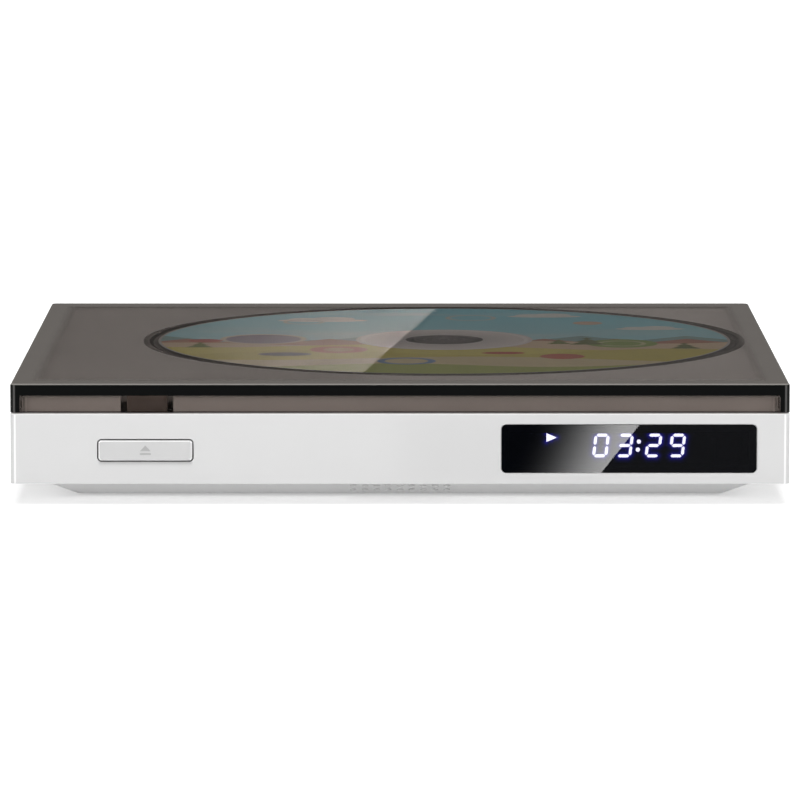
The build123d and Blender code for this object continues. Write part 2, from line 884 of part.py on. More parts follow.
# Display board with the socket of its flat cable
with BuildPart() as display_board:
    with BuildSketch(facing_front(display_board_y)):
        with Locations((window_x, window_z)):
            Rectangle(display_board_width, display_board_height)
        with Locations((window_x - display_boss_x, window_z), (window_x + display_boss_x, window_z)):
            Circle(display_pin_radius + press_gap, mode=Mode.SUBTRACT)
    extrude(amount=-board_thickness)
    with BuildSketch(facing_front(display_board_rear_y)):
        with Locations((cable_x, display_connector_z)):
            Rectangle(cable_width + display_connector_depth, display_connector_height)
    extrude(amount=-display_connector_depth)
display_board.part.label = "display_board"
export_step(display_board.part, "parts/display_board.step")

# Infrared receiver beside the digits
with BuildPart() as ir_receiver:
    with BuildSketch(facing_front(display_board_y)):
        with Locations((ir_x, window_z)):
            Rectangle(ir_width, ir_height)
    extrude(amount=ir_body_depth)
    with BuildSketch(facing_front(display_board_y - ir_body_depth)):
        with Locations((ir_x, window_z)):
            Circle(ir_dome_radius)
    extrude(amount=ir_dome_height)
ir_receiver.part.label = "ir_receiver"
export_step(ir_receiver.part, "parts/ir_receiver.step")

# Flat cable from the display board, along the floor, to the main board
with BuildPart() as flat_cable:
    with BuildSketch(Plane.YZ.offset(cable_x - cable_width / 2)):
        with BuildLine():
            FilletPolyline(
                (display_connector_y, display_connector_z),
                (display_connector_y + cable_lead, display_connector_z),
                (cable_drop_y, cable_z),
                (cable_rise_y, cable_z),
                (cable_lead_y, main_board_top_z + main_connector_height / 2),
                (main_board_front_y + main_connector_setback,
                 main_board_top_z + main_connector_height / 2),
                radius=cable_thickness * 1.5,
            )
        trace(line_width=cable_thickness)
    extrude(amount=cable_width)
flat_cable.part.label = "flat_cable"
export_step(flat_cable.part, "parts/flat_cable.step")

# Main board with the socket of the flat cable
with BuildPart() as main_board:
    board_depth = main_board_rear_y - main_board_front_y
    with BuildSketch(Plane.XY.offset(main_board_z)):
        with Locations((0, main_board_front_y + board_depth / 2)):
            Rectangle(main_board_width, board_depth)
        with Locations(*board_screw_places):
            Circle(board_screw_radius + board_hole_gap, mode=Mode.SUBTRACT)
    extrude(amount=main_board_thickness)
    with BuildSketch(Plane.XY.offset(main_board_top_z)):
        with Locations((cable_x, main_board_front_y + main_connector_setback + main_connector_depth / 2)):
            Rectangle(cable_width, main_connector_depth)
    extrude(amount=main_connector_height)
main_board.part.label = "main_board"
export_step(main_board.part, "parts/main_board.step")

# Main board screws
with BuildPart() as board_screws:
    with BuildSketch(Plane.XY.offset(main_board_top_z)):
        with Locations(*board_screw_places):
            Circle(board_screw_head_radius)
    extrude(amount=board_screw_head_height)
    with BuildSketch(Plane.XY.offset(main_board_top_z)):
        with Locations(*board_screw_places):
            Circle(board_screw_radius)
    extrude(amount=-board_screw_length)
board_screws.part.label = "board_screws"
export_step(board_screws.part, "parts/board_screws.step")

# Chips on the main board
with BuildPart() as board_chips:
    with BuildSketch(Plane.XY.offset(main_board_top_z)):
        for (place_x, place_y), size in zip(chip_places, chip_sizes):
            with Locations((place_x, main_board_front_y + place_y)):
                Rectangle(*size)
    extrude(amount=chip_height)
board_chips.part.label = "board_chips"
export_step(board_chips.part, "parts/board_chips.step")

# Capacitors on the main board
with BuildPart() as capacitors:
    with BuildSketch(Plane.XY.offset(main_board_top_z)):
        for side, inset, place_y in capacitor_places:
            with Locations((side * (board_screw_x - inset), main_board_front_y + place_y)):
                Circle(capacitor_radius)
    extrude(amount=capacitor_height)
    chamfer(capacitors.edges().group_by(Axis.Z)[-1], capacitor_edge)
capacitors.part.label = "capacitors"
export_step(capacitors.part, "parts/capacitors.step")

# Picture and sound socket: a folded metal mouth with a tongue
with BuildPart() as hdmi_socket:
    hdmi_z = main_board_top_z + hdmi_height / 2
    mouth_half = hdmi_width / 2 - hdmi_wall
    mouth_half_height = hdmi_height / 2 - hdmi_wall
    with BuildSketch(facing_front(socket_rear_y)):
        with Locations((hdmi_x, hdmi_z)):
            Rectangle(hdmi_width, hdmi_height)
    extrude(amount=hdmi_length)
    with BuildSketch(facing_front(socket_rear_y)):
        with Locations((hdmi_x, hdmi_z)):
            Polygon(
                (-mouth_half, mouth_half_height),
                (-mouth_half, hdmi_taper - mouth_half_height),
                (hdmi_taper - mouth_half, -mouth_half_height),
                (mouth_half - hdmi_taper, -mouth_half_height),
                (mouth_half, hdmi_taper - mouth_half_height),
                (mouth_half, mouth_half_height),
                align=None,
            )
            Rectangle(hdmi_tongue_width, hdmi_tongue_height, mode=Mode.SUBTRACT)
    extrude(amount=hdmi_depth, mode=Mode.SUBTRACT)
hdmi_socket.part.label = "hdmi_socket"
export_step(hdmi_socket.part, "parts/hdmi_socket.step")

# Memory stick socket
with BuildPart() as usb_socket:
    usb_z = main_board_top_z + usb_height / 2
    tongue_z = usb_height / 2 - usb_wall - usb_tongue_drop - usb_tongue_height / 2
    with BuildSketch(facing_front(socket_rear_y)):
        with Locations((usb_x, usb_z)):
            Rectangle(usb_width, usb_height)
    extrude(amount=usb_length)
    with BuildSketch(facing_front(socket_rear_y)):
        with Locations((usb_x, usb_z)):
            Rectangle(usb_width - 2 * usb_wall, usb_height - 2 * usb_wall)
        with Locations((usb_x, usb_z + tongue_z)):
            Rectangle(usb_tongue_width, usb_tongue_height, mode=Mode.SUBTRACT)
    extrude(amount=usb_depth, mode=Mode.SUBTRACT)
usb_socket.part.label = "usb_socket"
export_step(usb_socket.part, "parts/usb_socket.step")

# Sound and picture jack for a round plug
with BuildPart() as av_jack:
    with BuildSketch(facing_front(socket_rear_y - nose_length)):
        with Locations((jack_x, jack_z)):
            Rectangle(jack_width, jack_height)
    extrude(amount=jack_length - nose_length)
    with BuildSketch(facing_front(socket_rear_y)):
        with Locations((jack_x, jack_z)):
            Circle(jack_nose_radius)
    extrude(amount=nose_length)
    with BuildSketch(facing_front(socket_rear_y)):
        with Locations((jack_x, jack_z)):
            Circle(jack_bore_radius)
    extrude(amount=jack_bore_depth, mode=Mode.SUBTRACT)
av_jack.part.label = "av_jack"
export_step(av_jack.part, "parts/av_jack.step")

# Power inlet with its centre pin
with BuildPart() as power_socket:
    with BuildSketch(facing_front(socket_rear_y - nose_length)):
        with Locations((power_x, power_z)):
            Rectangle(power_width, power_height)
    extrude(amount=power_length - nose_length)
    with BuildSketch(facing_front(socket_rear_y)):
        with Locations((power_x, power_z)):
            Circle(power_nose_radius)
    extrude(amount=nose_length)
    with BuildSketch(facing_front(socket_rear_y)):
        with Locations((power_x, power_z)):
            Circle(power_bore_radius)
            Circle(power_pin_radius, mode=Mode.SUBTRACT)
    extrude(amount=power_bore_depth, mode=Mode.SUBTRACT)
power_socket.part.label = "power_socket"
export_step(power_socket.part, "parts/power_socket.step")

# Lid switch under the deck, with a well for its plunger
with BuildPart() as lid_switch:
    with BuildSketch(Plane.XY.offset(switch_z)):
        with Locations((switch_x, switch_y)):
            Rectangle(switch_width, switch_depth)
    extrude(amount=switch_height)
    with BuildSketch(Plane.XY.offset(plunger_z - plunger_travel - plunger_spare)):
        with Locations((switch_x, switch_y)):
            Circle(plunger_radius + plunger_gap)
    extrude(amount=deck_under_z - plunger_z + plunger_travel + plunger_spare, mode=Mode.SUBTRACT)
lid_switch.part.label = "lid_switch"
export_step(lid_switch.part, "parts/lid_switch.step")

# Plunger that the closed lid holds down
with BuildPart() as switch_plunger:
    with BuildSketch(Plane.XY.offset(plunger_z)):
        with Locations((switch_x, switch_y)):
            Circle(plunger_radius)
    extrude(amount=plunger_length)
switch_plunger.part.label = "switch_plunger"
export_step(switch_plunger.part, "parts/switch_plunger.step")

# Traverse chassis: a plate with a window for the laser unit and a bearing for the lead screw
with BuildPart() as traverse_chassis:
    window_length = chassis_window_rear_y - chassis_window_front_y
    cutout_half = sled_motor_radius + motor_cutout_gap
    cutout_length = sled_motor_length + motor_cutout_gap
    with BuildSketch(Plane.XY.offset(chassis_z)):
        with Locations((disc_x, chassis_mid_y)):
            RectangleRounded(2 * chassis_half_width, chassis_rear_y - chassis_front_y, chassis_corner)
        with Locations((disc_x, chassis_window_front_y + window_length / 2)):
            Rectangle(2 * chassis_window_half, window_length, mode=Mode.SUBTRACT)
        with Locations((screw_x, sled_motor_y + cutout_length / 2)):
            Rectangle(2 * cutout_half, cutout_length, mode=Mode.SUBTRACT)
        with Locations(*bush_places):
            Circle(bush_neck_radius + press_gap, mode=Mode.SUBTRACT)
    extrude(amount=chassis_thickness)
    with BuildSketch(facing_front(screw_front_y - tab_gap)):
        with Locations((screw_x, chassis_top_z + tab_height / 2)):
            Rectangle(tab_width, tab_height)
        with Locations((screw_x, rod_z)):
            Circle(journal_radius + running_gap, mode=Mode.SUBTRACT)
    extrude(amount=tab_length)
traverse_chassis.part.label = "traverse_chassis"
export_step(traverse_chassis.part, "parts/traverse_chassis.step")

# Soft bushes that the chassis sits in
bush_profile = (
    (chassis_screw_radius + fit_gap, bush_low_z),
    (bush_radius, bush_low_z),
    (bush_radius, chassis_z),
    (bush_neck_radius, chassis_z),
    (bush_neck_radius, chassis_top_z),
    (bush_radius, chassis_top_z),
    (bush_radius, bush_top_z),
    (chassis_screw_radius + fit_gap, bush_top_z),
)
with BuildPart() as damper_bushes:
    for place_x, place_y in bush_places:
        bush_plane = Plane((place_x, place_y, 0), x_dir=(1, 0, 0), z_dir=(0, -1, 0))
        with BuildSketch(bush_plane):
            with BuildLine():
                Polyline(*bush_profile, close=True)
            make_face()
        revolve(axis=Axis((place_x, place_y, 0), (0, 0, 1)))
damper_bushes.part.label = "damper_bushes"
export_step(damper_bushes.part, "parts/damper_bushes.step")

# Screws through the bushes
with BuildPart() as chassis_screws:
    with BuildSketch(Plane.XY.offset(bush_top_z)):
        with Locations(*bush_places):
            Circle(chassis_screw_head_radius)
    extrude(amount=chassis_screw_head_height)
    with BuildSketch(Plane.XY.offset(bush_top_z)):
        with Locations(*bush_places):
            Circle(chassis_screw_radius)
    extrude(amount=-chassis_screw_length)
chassis_screws.part.label = "chassis_screws"
export_step(chassis_screws.part, "parts/chassis_screws.step")

# Spindle motor: base, bearing and wound poles
with BuildPart() as spindle_motor:
    with BuildSketch(Plane.XY.offset(motor_base_z)):
        with Locations((disc_x, disc_y)):
            Circle(motor_base_radius)
    extrude(amount=motor_base_height)
    with BuildSketch(Plane.XY.offset(motor_base_z)):
        with Locations((disc_x, disc_y)):
            Circle(bearing_radius)
    extrude(amount=bearing_height)
    with BuildSketch(Plane.XY.offset(motor_base_z + motor_base_height + stator_lift)):
        with Locations((disc_x, disc_y)):
            Circle(stator_core_radius)
            with PolarLocations(stator_radius / 2, stator_poles):
                Rectangle(stator_radius, stator_pole_width)
            with PolarLocations(stator_radius - stator_tip_depth, stator_poles):
                Rectangle(stator_tip_depth, stator_pole_tip)
    extrude(amount=stator_height)
    with BuildSketch(Plane.XY.offset(motor_base_z + bearing_floor)):
        with Locations((disc_x, disc_y)):
            Circle(shaft_radius + running_gap)
    extrude(amount=bearing_height, mode=Mode.SUBTRACT)
spindle_motor.part.label = "spindle_motor"
export_step(spindle_motor.part, "parts/spindle_motor.step")

# Motor rotor: a steel cup on the spindle shaft
with BuildPart() as motor_rotor:
    with BuildSketch(Plane.XY.offset(cup_z)):
        with Locations((disc_x, disc_y)):
            Circle(cup_radius)
            Circle(cup_radius - cup_wall, mode=Mode.SUBTRACT)
    extrude(amount=cup_height)
    with BuildSketch(Plane.XY.offset(cup_top_z - cup_top)):
        with Locations((disc_x, disc_y)):
            Circle(cup_radius)
    extrude(amount=cup_top)
    with BuildSketch(Plane.XY.offset(shaft_z)):
        with Locations((disc_x, disc_y)):
            Circle(shaft_radius)
    extrude(amount=nose_top_z - shaft_recess - shaft_z)
motor_rotor.part.label = "motor_rotor"
export_step(motor_rotor.part, "parts/motor_rotor.step")

# Turntable and hub in one moulding, with pockets for the claws
with BuildPart() as spindle_hub:
    with BuildSketch(spindle_plane):
        with BuildLine():
            Polyline(
                (shaft_radius + press_gap, turntable_z),
                (turntable_radius, turntable_z),
                (turntable_radius, pad_z),
                (nose_radius, pad_z),
                (nose_radius, nose_top_z - nose_chamfer),
                (nose_radius - nose_chamfer, nose_top_z),
                (shaft_radius + press_gap, nose_top_z),
                close=True,
            )
        make_face()
    revolve(axis=spindle_axis)
    claw_pocket_depth = nose_radius + cut_margin - claw_inner_radius
    with BuildSketch(Plane.XY.offset(claw_z - fit_gap)):
        with Locations((disc_x, disc_y)):
            with PolarLocations(claw_inner_radius + claw_pocket_depth / 2 - fit_gap, claw_count):
                Rectangle(claw_pocket_depth, claw_width + 2 * fit_gap)
    extrude(amount=nose_height, mode=Mode.SUBTRACT)
spindle_hub.part.label = "spindle_hub"
export_step(spindle_hub.part, "parts/spindle_hub.step")

# Claws that grip the disc's bore
with BuildPart() as chuck_claws:
    claw_depth = claw_outer_radius - claw_inner_radius
    with BuildSketch(Plane.XY.offset(claw_z)):
        with Locations((disc_x, disc_y)):
            with PolarLocations(claw_inner_radius + claw_depth / 2, claw_count):
                Rectangle(claw_depth, claw_width)
            Circle(claw_outer_radius, mode=Mode.INTERSECT)
    extrude(amount=claw_height)
chuck_claws.part.label = "chuck_claws"
export_step(chuck_claws.part, "parts/chuck_claws.step")

# Rubber ring on the turntable
with BuildPart() as turntable_pad:
    with BuildSketch(Plane.XY.offset(pad_z)):
        with Locations((disc_x, disc_y)):
            Circle(pad_outer_radius)
            Circle(pad_inner_radius, mode=Mode.SUBTRACT)
    extrude(amount=pad_height)
turntable_pad.part.label = "turntable_pad"
export_step(turntable_pad.part, "parts/turntable_pad.step")

# Disc
with BuildPart() as disc:
    with BuildSketch(Plane.XY.offset(disc_z)):
        with Locations((disc_x, disc_y)):
            Circle(disc_radius)
            Circle(disc_bore_radius, mode=Mode.SUBTRACT)
    extrude(amount=disc_thickness)
disc.part.label = "disc"
export_step(disc.part, "parts/disc.step")

# Guide rods of the sled
with BuildPart() as guide_rods:
    with BuildSketch(facing_front(rod_front_y)):
        with Locations((left_rod_x, rod_z), (right_rod_x, rod_z)):
            Circle(rod_radius)
    extrude(amount=-(rod_rear_y - rod_front_y))
guide_rods.part.label = "guide_rods"
export_step(guide_rods.part, "parts/guide_rods.step")

# Clamps at the four ends of the rods
with BuildPart() as rod_clamps:
    clamp_height = rod_z + rod_radius + clamp_cap - chassis_top_z
    for clamp_y in (rod_front_y, rod_rear_y - clamp_length):
        with BuildSketch(facing_front(clamp_y)):
            with Locations(
                (left_rod_x, chassis_top_z + clamp_height / 2),
                (right_rod_x, chassis_top_z + clamp_height / 2),
            ):
                Rectangle(clamp_width, clamp_height)
            with Locations((left_rod_x, rod_z), (right_rod_x, rod_z)):
                Circle(rod_radius + press_gap, mode=Mode.SUBTRACT)
        extrude(amount=-clamp_length)
rod_clamps.part.label = "rod_clamps"
export_step(rod_clamps.part, "parts/rod_clamps.step")

# Sled: bored for the left rod, forked over the right one
with BuildPart() as sled:
    arm_cut = (sled_length - sled_arm_length) / 2
    arm_cut_x = disc_x + sled_width / 2 - sled_arm_reach / 2
    with BuildSketch(Plane.XY.offset(sled_z)):
        with Locations((disc_x, sled_y)):
            RectangleRounded(sled_width, sled_length, sled_corner)
        for side in (-1, 1):
            with Locations((arm_cut_x, sled_y + side * (sled_length - arm_cut) / 2)):
                Rectangle(sled_arm_reach, arm_cut, mode=Mode.SUBTRACT)
    extrude(amount=sled_height)
    with BuildSketch(facing_front(sled_y - sled_length)):
        with Locations((left_rod_x, rod_z), (right_rod_x, rod_z)):
            Circle(rod_radius + running_gap)
        fork_reach = sled_width / 2 - rod_offset + cut_margin
        with Locations((right_rod_x + fork_reach / 2, rod_z)):
            Rectangle(fork_reach, 2 * (rod_radius + running_gap))
    extrude(amount=-2 * sled_length, mode=Mode.SUBTRACT)
sled.part.label = "sled"
export_step(sled.part, "parts/sled.step")

# Laser unit under the sled
with BuildPart() as laser_unit:
    with BuildSketch(Plane.XY.offset(sled_z - laser_height)):
        with Locations((disc_x, sled_y)):
            RectangleRounded(2 * laser_half_width, laser_length, laser_corner)
    extrude(amount=laser_height)
laser_unit.part.label = "laser_unit"
export_step(laser_unit.part, "parts/laser_unit.step")

# Nut on the sled, a half shell over the lead screw
with BuildPart() as sled_nut:
    nut_start_x = disc_x + sled_width / 2
    with BuildSketch(facing_front(sled_y - nut_length / 2)):
        with Locations((nut_start_x + nut_width / 2, rod_z + nut_height / 2)):
            Rectangle(nut_width, nut_height)
        with Locations((screw_x, rod_z)):
            Circle(screw_radius + nut_gap, mode=Mode.SUBTRACT)
    extrude(amount=-nut_length)
sled_nut.part.label = "sled_nut"
export_step(sled_nut.part, "parts/sled_nut.step")

# Magnets either side of the lens holder
with BuildPart() as actuator_magnets:
    magnet_offset = holder_length / 2 + free_gap + magnet_depth / 2
    with BuildSketch(Plane.XY.offset(sled_top_z)):
        with Locations((disc_x, sled_y - magnet_offset), (disc_x, sled_y + magnet_offset)):
            Rectangle(magnet_width, magnet_depth)
    extrude(amount=magnet_height)
actuator_magnets.part.label = "actuator_magnets"
export_step(actuator_magnets.part, "parts/actuator_magnets.step")

# Block that the lens holder's wires hang from
with BuildPart() as suspension_block:
    suspension_x = disc_x - holder_width / 2 - free_gap - suspension_width / 2
    with BuildSketch(Plane.XY.offset(sled_top_z)):
        with Locations((suspension_x, sled_y)):
            Rectangle(suspension_width, holder_length)
    extrude(amount=suspension_height)
suspension_block.part.label = "suspension_block"
export_step(suspension_block.part, "parts/suspension_block.step")

# Lens holder, with a seat for the lens
with BuildPart() as lens_holder:
    with BuildSketch(Plane.XY.offset(holder_z)):
        with Locations((disc_x, sled_y)):
            RectangleRounded(holder_width, holder_length, holder_corner)
    extrude(amount=holder_height)
    with BuildSketch(Plane.XY.offset(holder_top_z - lens_seat)):
        with Locations((disc_x, sled_y)):
            Circle(lens_radius + press_gap)
    extrude(amount=lens_seat, mode=Mode.SUBTRACT)
lens_holder.part.label = "lens_holder"
export_step(lens_holder.part, "parts/lens_holder.step")

# Lens: a short cylinder with a domed top
with BuildPart() as lens:
    lens_plane = Plane((disc_x, sled_y, 0), x_dir=(1, 0, 0), z_dir=(0, -1, 0))
    lens_base_z = holder_top_z - lens_seat
    with BuildSketch(lens_plane):
        with BuildLine():
            side = Polyline(
                (0, holder_top_z + lens_height),
                (0, lens_base_z),
                (lens_radius, lens_base_z),
                (lens_radius, holder_top_z),
            )
            RadiusArc(side @ 1, side @ 0, -lens_curve)
        make_face()
    revolve(axis=Axis((disc_x, sled_y, 0), (0, 0, 1)))
lens.part.label = "lens"
export_step(lens.part, "parts/lens.step")

# Lead screw with a journal at each end
with BuildPart() as lead_screw:
    with BuildSketch(facing_front(screw_front_y)):
        with Locations((screw_x, rod_z)):
            Circle(screw_radius)
    extrude(amount=-(screw_rear_y - screw_front_y))
    with BuildSketch(facing_front(screw_front_y - journal_length)):
        with Locations((screw_x, rod_z)):
            Circle(journal_radius)
    extrude(amount=-(journal_length + screw_rear_y - screw_front_y + journal_rear))
lead_screw.part.label = "lead_screw"
export_step(lead_screw.part, "parts/lead_screw.step")

# Sled motor and its bracket
with BuildPart() as sled_motor:
    bracket_top_z = rod_z + sled_motor_radius
    with BuildSketch(facing_front(bracket_y)):
        with Locations((screw_x, (chassis_top_z + bracket_top_z) / 2)):
            Rectangle(bracket_width, bracket_top_z - chassis_top_z)
    extrude(amount=-bracket_thickness)
    with BuildSketch(facing_front(sled_motor_y)):
        with Locations((screw_x, rod_z)):
            Circle(sled_motor_radius)
    extrude(amount=-sled_motor_length)
    with BuildSketch(facing_front(bracket_y)):
        with Locations((screw_x, rod_z)):
            Circle(journal_radius + running_gap)
    extrude(amount=-(journal_rear + free_gap), mode=Mode.SUBTRACT)
sled_motor.part.label = "sled_motor"
export_step(sled_motor.part, "parts/sled_motor.step")

# Lid: a clear plate with four walls, a rounded heel at the hinge and two knuckles
with BuildPart() as lid:
    with BuildSketch(Plane.XY.offset(lid_z)):
        RectangleRounded(width, depth, plan_corner)
    extrude(amount=lid_height)
    fillet(lid.faces().sort_by(Axis.Z)[-1].edges(), lid_edge)
    with BuildSketch(Plane.XY.offset(lid_z)):
        RectangleRounded(width - 2 * lid_wall, depth - 2 * lid_wall, inner_corner)
    extrude(amount=lid_height - lid_plate, mode=Mode.SUBTRACT)
    with BuildSketch(Plane.YZ):
        with Locations((hinge_y, hinge_z)):
            Rectangle(hinge_radius + cut_margin, hinge_radius + cut_margin, align=(Align.MIN, Align.MAX))
            Circle(hinge_radius, mode=Mode.SUBTRACT)
    extrude(amount=width, both=True, mode=Mode.SUBTRACT)
    with BuildSketch(Plane.XY.offset(lid_z - cut_margin)):
        with Locations((-hinge_x, rear_y - lid_wall / 2), (hinge_x, rear_y - lid_wall / 2)):
            Rectangle(hinge_notch, lid_wall + 2 * fit_gap)
    extrude(amount=lid_under_z - lid_z + cut_margin, mode=Mode.SUBTRACT)
    for side in (-1, 1):
        with BuildSketch(Plane.YZ.offset(side * hinge_x - knuckle_length / 2)):
            with Locations((hinge_y, hinge_z)):
                Circle(knuckle_radius)
            with Locations((hinge_y, (hinge_z + lid_under_z) / 2)):
                Rectangle(2 * ear_radius, lid_under_z - hinge_z)
            with Locations((hinge_y, hinge_z)):
                Circle(pin_radius + running_gap, mode=Mode.SUBTRACT)
        extrude(amount=knuckle_length)
lid.part.label = "lid"
export_step(lid.part, "parts/lid.step")

# Hinge pins
with BuildPart() as hinge_pins:
    for side in (-1, 1):
        with BuildSketch(Plane.YZ.offset(side * hinge_x - ear_span / 2)):
            with Locations((hinge_y, hinge_z)):
                Circle(pin_radius)
        extrude(amount=ear_span)
hinge_pins.part.label = "hinge_pins"
export_step(hinge_pins.part, "parts/hinge_pins.step")

# Hook under the front of the lid, with its tooth pointing back
with BuildPart() as lid_hook:
    pad_front_y = front_y + lid_wall + fit_gap
    pad_bottom_z = lid_under_z - hook_pad_height
    with BuildSketch(Plane.YZ.offset(latch_x - hook_width / 2)):
        with BuildLine():
            Polyline(
                (pad_front_y, lid_under_z),
                (pad_front_y, pad_bottom_z),
                (hook_leg_front_y, pad_bottom_z),
                (hook_leg_front_y, hook_z),
                (hook_leg_back_y, hook_z),
                (hook_tip_y, hook_tooth_top_z - hook_tooth / 2),
                (hook_tip_y, hook_tooth_top_z),
                (hook_leg_back_y, hook_tooth_top_z),
                (hook_leg_back_y, pad_bottom_z),
                (pad_front_y + hook_pad_depth, pad_bottom_z),
                (pad_front_y + hook_pad_depth, lid_under_z),
                close=True,
            )
        make_face()
    extrude(amount=hook_width)
lid_hook.part.label = "lid_hook"
export_step(lid_hook.part, "parts/lid_hook.step")

# Open button with its side flanges
with BuildPart() as open_button:
    with BuildSketch(facing_front(button_front_y)):
        with Locations((button_x, button_z)):
            RectangleRounded(button_width, button_height, button_corner)
    extrude(amount=-button_cap_depth)
    fillet(open_button.faces().sort_by(Axis.Y)[0].edges(), button_edge)
    with BuildSketch(facing_front(button_back_y)):
        with Locations((button_x, button_z)):
            Rectangle(button_width + 2 * button_flange_overlap, button_flange_height)
    extrude(amount=-button_flange_depth)
open_button.part.label = "open_button"
export_step(open_button.part, "parts/open_button.step")

# Latch slider: a frame round the hook whose rear bar catches the tooth
with BuildPart() as latch_slider:
    arm_offset = (slider_width - slider_arm) / 2
    with BuildSketch(facing_front(slider_front_y)):
        with Locations((latch_x, (slider_low_z + slider_bridge_top_z) / 2)):
            Rectangle(slider_width, slider_bridge_top_z - slider_low_z)
        with Locations(
            (latch_x - arm_offset, (slider_low_z + slider_top_z) / 2),
            (latch_x + arm_offset, (slider_low_z + slider_top_z) / 2),
        ):
            Rectangle(slider_arm, slider_top_z - slider_low_z)
    extrude(amount=-slider_upright)
    with BuildSketch(Plane.XY.offset(slider_z)):
        with Locations((latch_x, (slider_front_y + slider_rear_y) / 2)):
            Rectangle(slider_width, slider_depth)
        with Locations((latch_x, (slider_front_y + catch_y) / 2)):
            Rectangle(slider_width - 2 * slider_arm, catch_y - slider_front_y, mode=Mode.SUBTRACT)
    extrude(amount=slider_plate)
    with BuildSketch(facing_front(slider_rear_y)):
        with Locations((latch_x, spring_z)):
            Rectangle(spring_seat_width, 2 * spring_half_height)
    extrude(amount=spring_seat_depth)
latch_slider.part.label = "latch_slider"
export_step(latch_slider.part, "parts/latch_slider.step")

# Return spring between the slider and the shell: a steel strip folded to and fro
with BuildPart() as button_spring:
    fold_points = [
        (spring_start_y + spring_pitch * fold, spring_z + (spring_fold if fold % 2 else -spring_fold))
        for fold in range(spring_folds + 1)
    ]
    with BuildSketch(Plane.YZ.offset(latch_x - spring_width / 2)):
        with BuildLine():
            FilletPolyline(*fold_points, radius=spring_corner)
        trace(line_width=spring_strip)
    extrude(amount=spring_width)
button_spring.part.label = "button_spring"
export_step(button_spring.part, "parts/button_spring.step")
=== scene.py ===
import math

import bmesh
import bpy
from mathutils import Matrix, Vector

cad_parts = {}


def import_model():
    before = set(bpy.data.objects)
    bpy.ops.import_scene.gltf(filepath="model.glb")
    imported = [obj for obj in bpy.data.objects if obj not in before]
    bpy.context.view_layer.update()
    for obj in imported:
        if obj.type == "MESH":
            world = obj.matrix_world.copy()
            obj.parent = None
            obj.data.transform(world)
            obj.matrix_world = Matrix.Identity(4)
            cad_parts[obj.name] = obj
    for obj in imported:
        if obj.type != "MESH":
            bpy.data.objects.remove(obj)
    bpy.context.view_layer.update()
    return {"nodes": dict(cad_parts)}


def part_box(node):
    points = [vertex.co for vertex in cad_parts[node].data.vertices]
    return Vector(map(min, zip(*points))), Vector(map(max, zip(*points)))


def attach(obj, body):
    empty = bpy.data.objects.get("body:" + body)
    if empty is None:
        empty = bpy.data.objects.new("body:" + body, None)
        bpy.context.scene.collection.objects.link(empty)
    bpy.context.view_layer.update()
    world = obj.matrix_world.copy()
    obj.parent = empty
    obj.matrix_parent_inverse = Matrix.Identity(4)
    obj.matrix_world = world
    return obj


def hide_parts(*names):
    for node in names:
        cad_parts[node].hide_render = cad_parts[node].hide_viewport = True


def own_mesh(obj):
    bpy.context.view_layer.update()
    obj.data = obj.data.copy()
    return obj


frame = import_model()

MM = 0.001
nodes = frame["nodes"]


# Colours and material trees. Noise scales are cells per metre, grain and bump heights are in mm.

NOISE_LOW, NOISE_HIGH = 0.3, 0.7
FINE_GRAIN = 2600.0
PLASTIC_IOR = 1.5


def srgb(code):
    """Linear colour of a screen colour such as 'e1e1e1'."""
    parts = [int(code[i:i + 2], 16) / 255 for i in (0, 2, 4)]
    linear = (c / 12.92 if c <= 0.04045 else ((c + 0.055) / 1.055) ** 2.4 for c in parts)
    return tuple(linear) + (1.0,)


WHITE = srgb("ffffff")


